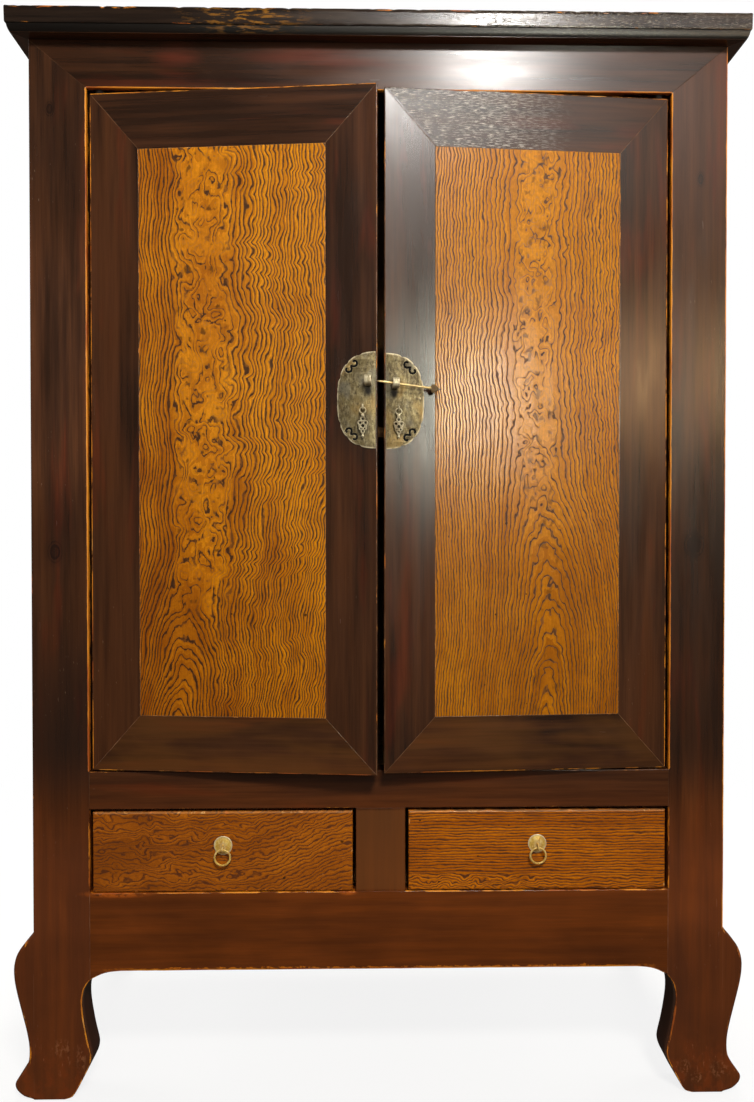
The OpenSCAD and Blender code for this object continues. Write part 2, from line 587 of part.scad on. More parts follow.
module drawer_staple(side) color(brass) carcass(side) translate([dxc, 0, ros_z]) union() {
  translate([0, ring_y, -ring_drop]) rotate([0, 90, 0]) wire_ring(4.4, 2.8);
  translate([0, -6.5, 0]) rotate([-90, 0, 0]) cylinder(d = 4, h = 6.5 + drawer_front_t + 1, $fn = 32);
  box([-2, drawer_front_t, -12], [2, drawer_front_t + 1.8, 12]);
}
module drawer_ring(side) color(brass) carcass(side)
  translate([dxc, ring_y, ros_z - ring_drop - 0.9 - ring_d / 2]) rotate([90, 0, 0]) wire_ring(ring_d / 2, ring_wire);

module left_drawer_front() drawer_front(-1);
module left_drawer_sides() drawer_sides(-1);
module left_drawer_back() drawer_back(-1);
module left_drawer_bottom() drawer_bottom(-1);
module left_drawer_rosette() drawer_rosette(-1);
module left_drawer_staple() drawer_staple(-1);
module left_drawer_ring() drawer_ring(-1);
module right_drawer_front() drawer_front(1);
module right_drawer_sides() drawer_sides(1);
module right_drawer_back() drawer_back(1);
module right_drawer_bottom() drawer_bottom(1);
module right_drawer_rosette() drawer_rosette(1);
module right_drawer_staple() drawer_staple(1);
module right_drawer_ring() drawer_ring(1);

top_front();
top_back();
top_left();
top_right();
top_panel();
top_battens();
front_left_post();
front_right_post();
back_left_post();
back_right_post();
upper_rail();
middle_rail();
drawer_divider();
apron();
back_rails();
left_side_rails();
right_side_rails();
left_side_panels();
right_side_panels();
back_panels();
cupboard_floor();
floor_bearers();
shelf();
shelf_bearers();
drawer_runners();
drawer_guides();
left_door_hinge_stile();
left_door_meeting_stile();
left_door_top_rail();
left_door_bottom_rail();
left_door_panel();
left_door_battens();
left_lock_plate();
left_lock_staples();
left_pull();
right_door_hinge_stile();
right_door_meeting_stile();
right_door_top_rail();
right_door_bottom_rail();
right_door_panel();
right_door_battens();
right_lock_plate();
right_lock_staples();
right_pull();
lock_pin();
left_drawer_front();
left_drawer_sides();
left_drawer_back();
left_drawer_bottom();
left_drawer_rosette();
left_drawer_staple();
left_drawer_ring();
right_drawer_front();
right_drawer_sides();
right_drawer_back();
right_drawer_bottom();
right_drawer_rosette();
right_drawer_staple();
right_drawer_ring();
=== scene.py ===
import math

import bmesh
import bpy
import numpy as np
from mathutils import Matrix, Vector, noise
from mathutils.geometry import delaunay_2d_cdt


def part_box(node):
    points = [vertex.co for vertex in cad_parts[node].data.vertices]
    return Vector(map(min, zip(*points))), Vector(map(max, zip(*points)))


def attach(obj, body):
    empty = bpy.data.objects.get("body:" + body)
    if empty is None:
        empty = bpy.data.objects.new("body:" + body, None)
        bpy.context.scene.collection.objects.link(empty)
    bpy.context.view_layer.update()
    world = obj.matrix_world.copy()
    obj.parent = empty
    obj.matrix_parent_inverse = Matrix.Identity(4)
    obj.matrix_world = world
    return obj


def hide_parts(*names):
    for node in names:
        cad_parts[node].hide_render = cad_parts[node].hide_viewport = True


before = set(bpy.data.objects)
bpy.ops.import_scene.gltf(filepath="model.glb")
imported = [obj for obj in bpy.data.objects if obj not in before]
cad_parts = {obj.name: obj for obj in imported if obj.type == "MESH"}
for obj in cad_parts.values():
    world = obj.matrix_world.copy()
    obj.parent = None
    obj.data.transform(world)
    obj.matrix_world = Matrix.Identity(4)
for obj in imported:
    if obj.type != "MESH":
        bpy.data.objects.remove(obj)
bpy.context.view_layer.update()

# The pieces are drawn in millimetres with y = 0 on the front plane of the carcass and moved into the frame by SY.
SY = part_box("upper_rail")[0].y


def W(x, y, z):
    return Vector((x / 1000.0, y / 1000.0 + SY, z / 1000.0))


# ------------------------------------------------------------------ camera
cam_data = bpy.data.cameras.new("camera")
cam_data.sensor_fit = "AUTO"
cam_data.sensor_width = 36.0
cam_data.lens = 30.507
cam_data.clip_start = 0.05
cam_data.clip_end = 60.0
cam_data.dof.use_dof = False
camera = bpy.data.objects.new("camera", cam_data)
bpy.context.scene.collection.objects.link(camera)
yaw, down = math.radians(-1.12), math.radians(0.89)
turn = Matrix.Rotation(yaw, 3, "Z")
look = turn @ Vector((0, math.cos(down), -math.sin(down)))
right = turn @ Vector((1, 0, 0))
over = right.cross(look)
rot = Matrix((right, over, -look)).transposed()
camera.matrix_world = Matrix.Translation(W(-37.55, -1600, 967.36)) @ rot.to_4x4()
bpy.context.scene.camera = camera
bpy.context.scene.view_settings.view_transform = "Standard"

# ------------------------------------------------------------------ dimensions, as in the CAD
TOP_W, DEPTH, OVER, BACK_OVER, TOP_T, TOP_F = 1250.0, 550.0, 30.0, 6.0, 42.0, 95.0
POST_W, POST_T, BP = 96.5, 60.0, 60.0
RAIL_T, FRAME_T, SKIN = 40.0, 30.0, 10.0
CW = TOP_W / 2 - OVER
XI = CW - POST_W
Z_APR, Z_DRW, Z_MID, Z_DOOR, Z_UP, Z_CAR, Z_TOP = 221.0, 356.0, 500.0, 565.0, 1726.0, 1806.0, 1848.0
BPX, BPY = CW - BP, DEPTH - BP
DIV = 42.5
DOOR_T = 26.0
HX, MX = XI - 6.6, 3.3
ZD0, ZD1 = Z_DOOR + 2.5, Z_UP - 9.0
AX, AY = HX - 13.0, 13.0
IX0, IX1, IZ0, IZ1 = MX + 86.5, HX - 84.0, ZD0 + 95.0, ZD1 - 96.0
OPEN_L, OPEN_R = math.radians(5.6), math.radians(4.0)
PLATE_Z = 1194.0
DX0, DX1, DZ0, DZ1 = DIV + 5.5, XI - 5.5, Z_DRW + 1.5, Z_MID - 5.0
DXC = (DX0 + DX1) / 2
ROS_Z = (DZ0 + DZ1) / 2 + 11
DRAWER_L = 470.0
RUN_Z = DZ0 - 0.3
RB0, RB1 = Z_DRW - 92, Z_DRW - 22
SX1, SX0 = CW - 3, CW - 33
PX0, PX1 = CW - 23, CW - 13
RAIL_Z = [(RB0, RB1), (Z_MID, Z_DOOR), (Z_UP, Z_CAR)]
PANEL_Z = [(RB1 - 8, Z_MID + 8), (Z_DOOR - 8, Z_UP + 8)]
BY0, BY1, QY0, QY1 = 510.0, 540.0, 520.0, 530.0

# turning of the two doors, which stand ajar
M_LEFT = Matrix.Translation(W(-AX, AY, 0)) @ Matrix.Rotation(-OPEN_L, 4, "Z") @ Matrix.Translation(-W(-AX, AY, 0))
M_RIGHT = Matrix.Translation(W(AX, AY, 0)) @ Matrix.Rotation(OPEN_R, 4, "Z") @ Matrix.Translation(-W(AX, AY, 0))


# ------------------------------------------------------------------ material helper
def lin(r, g, b):
    f = lambda c: c / 12.92 if c <= 0.04045 else ((c + 0.055) / 1.055) ** 2.4
    return (f(r / 255.0), f(g / 255.0), f(b / 255.0), 1.0)


class Mat:
    def __init__(self, name, **fixed):
        self.m = bpy.data.materials.new(name)
        self.m.use_nodes = True
        self.t = self.m.node_tree
        self.t.nodes.clear()
        self.out = self.t.nodes.new("ShaderNodeOutputMaterial")
        self.b = self.t.nodes.new("ShaderNodeBsdfPrincipled")
        self.t.links.new(self.b.outputs[0], self.out.inputs["Surface"])
        for k, v in fixed.items():
            self.b.inputs[k.replace("_", " ")].default_value = v

    def put(self, sock, v):
        if isinstance(v, bpy.types.NodeSocket):
            self.t.links.new(v, sock)
        elif sock.type == "VALUE":
            sock.default_value = float(v)
        elif sock.type == "VECTOR":
            sock.default_value = tuple(v)[:3]
        else:
            v = tuple(v)
            sock.default_value = v if len(v) == 4 else v + (1.0,)

    def attr(self, name, kind="Vector"):
        n = self.t.nodes.new("ShaderNodeAttribute")
        n.attribute_type = "GEOMETRY"
        n.attribute_name = name
        return n.outputs[kind]

    def math(self, op, a, b=0.0, c=0.0, clamp=False):
        n = self.t.nodes.new("ShaderNodeMath")
        n.operation = op
        n.use_clamp = clamp
        self.put(n.inputs[0], a)
        if op not in ("SQRT", "ABSOLUTE", "FRACT", "SINE", "COSINE", "FLOOR"):
            self.put(n.inputs[1], b)
        if op in ("MULTIPLY_ADD", "SMOOTH_MIN", "SMOOTH_MAX", "WRAP"):
            self.put(n.inputs[2], c)
        return n.outputs[0]

    def add(self, *a):
        v = a[0]
        for w in a[1:]:
            v = self.math("ADD", v, w)
        return v

    def mul(self, *a):
        v = a[0]
        for w in a[1:]:
            v = self.math("MULTIPLY", v, w)
        return v

    def sub(self, a, b):
        return self.math("SUBTRACT", a, b)

    def vec(self, v, scale=(1, 1, 1), shift=(0, 0, 0)):
        n = self.t.nodes.new("ShaderNodeVectorMath")
        n.operation = "MULTIPLY_ADD"
        self.put(n.inputs[0], v)
        self.put(n.inputs[1], scale)
        self.put(n.inputs[2], shift)
        return n.outputs[0]

    def sep(self, v):
        n = self.t.nodes.new("ShaderNodeSeparateXYZ")
        self.put(n.inputs[0], v)
        return n.outputs[0], n.outputs[1], n.outputs[2]

    def com(self, x, y, z=0.0):
        n = self.t.nodes.new("ShaderNodeCombineXYZ")
        self.put(n.inputs[0], x)
        self.put(n.inputs[1], y)
        self.put(n.inputs[2], z)
        return n.outputs[0]

    def noise(self, v, detail=2.0, rough=0.5, dist=0.0):
        n = self.t.nodes.new("ShaderNodeTexNoise")
        n.noise_dimensions = "3D"
        self.put(n.inputs["Vector"], v)
        n.inputs["Scale"].default_value = 1.0
        n.inputs["Detail"].default_value = detail
        n.inputs["Roughness"].default_value = rough
        n.inputs["Distortion"].default_value = dist
        return n.outputs[0]

    def rng(self, v, a, b, c=0.0, d=1.0, smooth=True):
        n = self.t.nodes.new("ShaderNodeMapRange")
        n.interpolation_type = "SMOOTHSTEP" if smooth else "LINEAR"
        n.clamp = True
        self.put(n.inputs[0], v)
        for i, w in enumerate((a, b, c, d)):
            self.put(n.inputs[1 + i], w)
        return n.outputs[0]

    def mix(self, f, a, b, kind="MIX"):
        n = self.t.nodes.new("ShaderNodeMix")
        n.data_type = "RGBA"
        n.blend_type = kind
        n.clamp_factor = True
        self.put(n.inputs[0], f)
        self.put(n.inputs[6], a)
        self.put(n.inputs[7], b)
        return n.outputs[2]

    def gain(self, col, f):
        n = self.t.nodes.new("ShaderNodeVectorMath")
        n.operation = "SCALE"
        self.put(n.inputs[0], col)
        self.put(n.inputs[3], f)
        return n.outputs[0]

    def bump(self, height, distance, strength=1.0, under=None):
        n = self.t.nodes.new("ShaderNodeBump")
        n.inputs["Strength"].default_value = strength
        n.inputs["Distance"].default_value = distance
        self.put(n.inputs["Height"], height)
        if under is not None:
            self.put(n.inputs["Normal"], under)
        return n.outputs[0]

    def spot(self, x, z, x0, z0, rx, rz):
        """1 in the middle of an oval at (x0, z0), in metres, 0 outside"""
        dx = self.math("DIVIDE", self.sub(x, x0), rx)
        dz = self.math("DIVIDE", self.sub(z, z0), rz)
        return self.rng(self.math("SQRT", self.add(self.mul(dx, dx), self.mul(dz, dz))), 1.0, 0.2)


def lacquer_material():
    m = Mat("lacquer", Specular_IOR_Level=0.5)
    gr, ps = m.attr("gr"), m.attr("ps")
    wear, pale = m.attr("wear", "Fac"), m.attr("pale", "Fac")
    x, y, z = m.sep(ps)
    ax = m.math("ABSOLUTE", x)
    post = m.rng(ax, (XI - 2) / 1000.0, (XI + 1) / 1000.0)
    slab = m.rng(z, 1.8062, 1.8075)
    blotch = m.noise(m.vec(gr, (1.6, 9.0, 9.0)), 2.0, 0.5, 0.2)
    streak = m.noise(m.vec(gr, (2.4, 64.0, 64.0), (3.1, 0, 0)), 5.0, 0.66)
    fine = m.noise(m.vec(gr, (12.0, 560.0, 560.0)), 2.0, 0.6)
    patch = m.noise(m.vec(gr, (3.4, 24.0, 24.0), (7.7, 2.0, 0)), 3.0, 0.6, 0.4)
    col = m.mix(m.rng(m.add(m.mul(blotch, 0.6), m.mul(streak, 0.4)), 0.38, 0.62), lin(43, 25, 15), lin(70, 40, 21))
    col = m.mix(m.mul(m.rng(patch, 0.54, 0.74), 0.5), col, lin(92, 36, 16))
    # the posts are darkest between the drawers and the lock, and the lower part is browner
    night = m.mul(post, m.rng(z, 0.46, 0.62), m.rng(m.add(z, m.rng(x, 0.1, -0.1, 0.0, 0.22)), 1.12, 0.82))
    col = m.gain(col, m.sub(1.0, m.mul(night, m.rng(x, -0.1, 0.1, 0.42, 0.30))))
    low = m.add(m.rng(z, 0.62, 0.37), m.mul(m.sub(blotch, 0.5), 0.5))
    warm = m.mix(m.rng(m.add(m.mul(patch, 0.6), m.mul(streak, 0.4)), 0.34, 0.68), lin(94, 45, 13), lin(116, 56, 14))
    col = m.mix(m.math("MULTIPLY", low, 0.94, clamp=True), col, warm)
    col = m.mix(slab, col, m.mix(m.rng(streak, 0.35, 0.65), lin(20, 14, 11), lin(38, 27, 20)))
    col = m.gain(col, m.add(m.mul(m.sub(m.rng(streak, 0.3, 0.7, smooth=False), 0.5), m.rng(z, 0.35, 0.6, 0.17, 0.46)), m.mul(fine, 0.30), 0.85))
    # the lower part is clouded, the upper rail smoky with a red place
    cloud = m.noise(m.vec(ps, (5.0, 5.0, 7.0), (3.3, 0.0, 1.2)), 3.0, 0.6, 0.3)
    col = m.gain(col, m.add(1.0, m.mul(m.rng(cloud, 0.34, 0.66, -0.16, 0.16, False), m.rng(z, 0.62, 0.42))))
    rail = m.mul(m.rng(z, 1.7262, 1.7275), m.rng(z, 1.8062, 1.8050), m.rng(m.sub(ax, m.mul(m.sub(z, Z_UP / 1000.0), POST_W / 80.0)), (XI + 1) / 1000.0, (XI - 1) / 1000.0))
    col = m.gain(col, m.sub(1.0, m.mul(rail, m.rng(x, 0.02, -0.22), m.rng(cloud, 0.38, 0.58, 0.36, 0.12))))
    red = m.mul(rail, m.math("MAXIMUM", m.spot(x, z, -0.345, 1.772, 0.055, 0.045), m.spot(x, z, -0.10, 1.78, 0.15, 0.03)), m.rng(patch, 0.36, 0.56), m.rng(streak, 0.34, 0.56, 0.45, 1.0))
    col = m.mix(m.mul(red, 0.5), col, lin(104, 42, 24))
    # lighter on the left post next to the lock, a painted sheen; greyer and dark on both posts below it
    left_post_sheen = m.mul(post, m.rng(x, -0.45, -0.5), m.rng(z, 0.98, 1.10), m.rng(z, 1.55, 1.40))
    col = m.gain(col, m.add(1.0, m.mul(left_post_sheen, m.rng(patch, 0.3, 0.6, 0.35, 0.75))))
    col = m.mix(m.mul(night, m.rng(x, -0.1, 0.1, 0.5, 0.2)), col, lin(36, 26, 22))
    col = m.mix(m.mul(post, m.rng(z, 0.52, 0.40), 0.22), col, lin(100, 60, 44))
    # the bottom rails of the doors are browner
    corner = m.sub(m.math("MINIMUM", m.mul(m.sub(ax, MX / 1000.0), 95.0 / 86.5), m.mul(m.sub(HX / 1000.0, ax), 95.0 / 84.0)), m.sub(z, ZD0 / 1000.0))
    sill = m.mul(m.rng(z, 0.5655, 0.569), m.rng(z, 0.668, 0.656), m.rng(ax, 0.490, 0.485), m.rng(corner, -0.0006, 0.0006))
    col = m.mix(m.mul(sill, m.rng(m.add(m.mul(patch, 0.5), m.mul(cloud, 0.5)), 0.40, 0.60), 0.34), col, lin(110, 68, 26))
    col = m.gain(col, m.rng(z, 0.31, 0.25, 1.0, 0.86))
    # the wood between the drawers is thinly lacquered
    thin = m.mul(m.rng(ax, (DIV + 2) / 1000.0, (DIV - 2) / 1000.0), m.rng(z, 0.356, 0.362), m.rng(z, 0.50, 0.494))
    col = m.mix(m.mul(thin, 0.55), col, lin(116, 70, 34))
    # feet scuffed down to the reddish wood, with a few pale knocks
    scuff = m.noise(m.vec(ps, (40.0, 40.0, 26.0), (3.0, 0, 1.0)), 4.0, 0.65)
    foot = m.mul(m.rng(z, 0.13, 0.03), m.rng(scuff, 0.42, 0.62))
    col = m.mix(m.mul(foot, 0.6), col, lin(124, 56, 20))
    knock = m.mul(m.rng(z, 0.11, 0.07), m.rng(z, 0.02, 0.05), m.rng(m.noise(m.vec(gr, (60.0, 260.0, 260.0), (8.0, 0, 0)), 3.0, 0.6), 0.60, 0.68))
    col = m.mix(m.mul(knock, m.rng(scuff, 0.48, 0.60), 0.4), col, lin(170, 112, 70))
    # knots
    knots = None
    for (kx, kz, rx, rz) in ((-0.5545, 0.941, 0.020, 0.030), (0.541, 0.953, 0.028, 0.034), (0.549, 1.58, 0.010, 0.020),
                             (-0.56, 1.69, 0.012, 0.02)):
        s = m.spot(x, z, kx, kz, rx, rz)
        knots = s if knots is None else m.math("MAXIMUM", knots, s)
    ringed = m.math("SINE", m.mul(knots, 16.0))
    col = m.mix(m.mul(knots, m.add(m.mul(ringed, 0.25), 0.6)), col, lin(22, 12, 10))
    # pale places rubbed on the ankles and feet, and painted shade on the sides of the legs behind them
    rubbed = None
    for (kx, kz, rx, rz) in ((-0.547, 0.088, 0.024, 0.020), (-0.514, 0.070, 0.012, 0.030), (0.552, 0.026, 0.020, 0.014), (0.590, 0.040, 0.024, 0.020), (0.530, 0.045, 0.012, 0.02)):
        q = m.spot(x, z, kx, kz, rx, rz)
        rubbed = q if rubbed is None else m.math("MAXIMUM", rubbed, q)
    rubbed = m.mul(rubbed, m.rng(y, 0.006, 0.001), m.rng(m.noise(m.vec(ps, (170.0, 170.0, 120.0), (1.0, 2.0, 5.0)), 3.0, 0.65), 0.48, 0.60))
    col = m.mix(m.mul(rubbed, 0.5), col, lin(158, 100, 62))
    # painted shade: the inner sides of the legs are darkened and made rougher
    leg_side_shade = m.mul(m.rng(y, 0.005, 0.02), m.rng(z, 0.235, 0.21), m.rng(ax, 0.556, 0.545))
    col = m.gain(col, m.sub(1.0, m.mul(leg_side_shade, 0.5)))
    # glue line of the leg block
    glue = m.mul(m.rng(m.math("ABSOLUTE", m.sub(ax, CW / 1000.0)), 0.0011, 0.0003), m.rng(z, 0.292, 0.27),
                 m.rng(m.noise(m.vec(ps, (30, 30, 22)), 1.0), 0.4, 0.6))
    col = m.mix(m.mul(glue, 0.22), col, lin(130, 84, 50))
    # grime around the lock plates
    grime = m.mul(m.spot(x, z, 0.0, 1.194, 0.135, 0.135), m.rng(m.noise(m.vec(ps, (24, 24, 16)), 3.0, 0.6), 0.3, 0.6), 0.75)
    col = m.mix(grime, col, lin(17, 12, 10))
    # painted shade in the hook cuts through the plates: the lacquer seen through them is made near black and rough
    az = m.math("ABSOLUTE", m.sub(z, PLATE_Z / 1000.0))
    hook_hole_shade = m.math("MAXIMUM", m.spot(ax, az, 0.0410, 0.0590, 0.0125, 0.0125), m.spot(ax, az, 0.0495, 0.0505, 0.0125, 0.0125))
    col = m.mix(m.math("MULTIPLY", hook_hole_shade, 3.0, clamp=True), col, lin(9, 7, 6))
    # a few scratches; painted glints of raised grain on the right door's top rail, and chips on the slab that are
    # partly painted glints
    speck = m.noise(m.vec(gr, (85.0, 420.0, 420.0), (1.3, 0.4, 0)), 2.0, 0.5)
    where = m.noise(m.vec(ps, (3.0, 3.0, 3.0), (5.0, 1.0, 2.0)), 1.0)
    rub = m.mul(m.rng(speck, 0.72, 0.77), m.rng(where, 0.56, 0.66), 0.35)
    mitre = m.sub(m.sub(x, MX / 1000.0), m.mul(m.sub(ZD1 / 1000.0, z), 0.9))
    crackle = m.mul(m.rng(mitre, 0.001, 0.006), m.rng(x, 0.34, 0.12), m.rng(z, (IZ1 - 1) / 1000.0, (IZ1 + 3) / 1000.0), m.rng(z, 1.7175, 1.716))
    hair = m.noise(m.vec(gr, (75.0, 800.0, 800.0), (2.0, 1.0, 0)), 3.0, 0.65)
    grain_glint = m.mul(crackle, m.rng(m.add(hair, m.mul(m.sub(where, 0.5), 0.2)), 0.535, 0.585))
    grain2 = m.noise(m.vec(gr, (130.0, 900.0, 900.0), (0.0, 3.0, 0)), 3.0, 0.62)
    chips_and_glint = m.mul(slab, m.rng(grain2, 0.55, 0.64), m.rng(m.add(m.mul(x, 0.8), m.mul(where, 0.8)), 0.42, 0.80), m.rng(x, 0.56, 0.34, 0.35, 1.0), m.rng(z, 1.8192, 1.8204, 0.2, 1.0))
    gold = m.mul(slab, m.spot(x, z, -0.225, 1.834, 0.13, 0.04), m.rng(y, -0.020, -0.026), m.rng(m.noise(m.vec(gr, (40.0, 190.0, 190.0), (6.0, 3.0, 0)), 3.0, 0.65), 0.50, 0.62))
    # painted shade: the lower member of the top's moulding, which faces down, is darkened
    col = m.gain(col, m.sub(1.0, m.mul(slab, m.rng(z, 1.8204, 1.8192), 0.78)))
    dust = m.mul(slab, m.rng(m.noise(m.vec(gr, (8.0, 60.0, 60.0), (9, 0, 0)), 3.0, 0.6), 0.42, 0.68), m.rng(x, -0.35, 0.25, 0.0, 1.0), m.rng(z, 1.8192, 1.8204, 0.12, 1.0))
    col = m.mix(m.mul(dust, 0.34), col, lin(112, 98, 84))
    # chips on the slab: partly chipped lacquer, partly painted glints of raised grain
    col = m.mix(m.mul(chips_and_glint, 0.7), col, lin(196, 184, 168))
    col = m.gain(col, m.sub(1.0, m.mul(crackle, 0.35)))
    # painted glints of raised grain on the right door's top rail
    col = m.mix(m.mul(grain_glint, 0.95), col, lin(232, 224, 212))
    col = m.mix(m.mul(gold, 0.62), col, lin(164, 108, 24))
    # bare wood where the drawers rubbed on the apron
    bare = m.math("MAXIMUM", m.spot(x, z, -0.452, 0.3545, 0.075, 0.009), m.spot(x, z, -0.056, 0.3545, 0.020, 0.007))
    bare = m.mul(bare, m.rng(m.noise(m.vec(ps, (90.0, 90.0, 140.0)), 3.0, 0.6), 0.36, 0.52))
    col = m.mix(m.math("MULTIPLY", bare, 0.85, clamp=True), col, lin(186, 92, 22))
    # ragged lower edge of the apron
    rag = m.add(m.rng(z, 0.2335, 0.2230), m.mul(m.sub(m.noise(m.vec(gr, (46.0, 120.0, 120.0), (2.0, 6.0, 0)), 4.0, 0.7), 0.5), 2.2))
    rag = m.mul(m.rng(rag, 0.84, 0.97), m.rng(ax, 0.45, 0.36, 0.35, 1.0), m.rng(ax, 0.48, 0.47), m.rng(z, 0.235, 0.232), m.rng(z, 0.215, 0.217))
    col = m.mix(m.mul(rag, 0.85), col, lin(196, 108, 20))
    col = m.mix(rub, col, lin(150, 122, 96))
    # worn arrises: lacquer gone down to the pale or orange ground
    edge = m.noise(m.vec(gr, (26.0, 150.0, 150.0), (0.7, 5.0, 0)), 4.0, 0.65)
    wm = m.rng(m.sub(m.mul(wear, 1.12), m.rng(edge, 0.25, 0.75, 0.0, 1.0, False)), -0.04, 0.16)
    tone = m.noise(m.vec(gr, (7.0, 60.0, 60.0), (4.0, 0, 1.0)), 3.0, 0.6)
    worn = m.mix(m.rng(tone, 0.36, 0.6), lin(170, 80, 10), lin(240, 150, 26))
    worn = m.mix(m.mul(m.rng(tone, 0.62, 0.74), 0.6), worn, lin(226, 184, 120))
    col = m.mix(m.mul(wm, 0.92), col, worn)
    # the door pivots in the gap above the doors are painted dark as shade, and made rough
    pivot_shade = m.mul(m.rng(z, 1.7172, 1.7176), m.rng(z, 1.7260, 1.7256), m.rng(ax, 0.4885, 0.4875))
    col = m.gain(col, m.sub(1.0, m.mul(pivot_shade, 0.8)))
    pm = m.mul(pale, m.rng(m.noise(m.vec(gr, (30.0, 30.0, 30.0), (2.0, 7.0, 0)), 2.0, 0.6), 0.36, 0.66, 0.12, 1.0))
    col = m.mix(pm, col, lin(168, 124, 88))
    m.put(m.b.inputs["Base Color"], col)
    rough = m.add(0.15, m.mul(m.noise(m.vec(gr, (6.0, 40.0, 40.0), (0, 2.0, 0)), 3.0, 0.6), 0.17), m.mul(wm, 0.25), m.mul(slab, -0.03), m.mul(slab, m.rng(z, 1.8204, 1.8192), 0.12), m.mul(leg_side_shade, 0.4), m.mul(pivot_shade, 0.6), m.mul(crackle, 0.10), m.mul(grime, 0.08), m.math("MULTIPLY", hook_hole_shade, 2.0, clamp=True))
    m.put(m.b.inputs["Roughness"], rough)
    wave = m.noise(m.vec(gr, (7.0, 30.0, 30.0), (0, 9.0, 0)), 1.0)
    n1 = m.bump(wave, 0.0006, 0.45)
    height = m.add(m.mul(streak, 0.28), m.mul(fine, 0.14), m.mul(wm, -0.9), m.mul(chips_and_glint, -0.9), m.mul(pm, -0.6), m.mul(rub, -1.0), m.mul(grain_glint, 1.0))
    m.put(m.b.inputs["Normal"], m.bump(height, 0.0002, 0.8, n1))
    return m.m


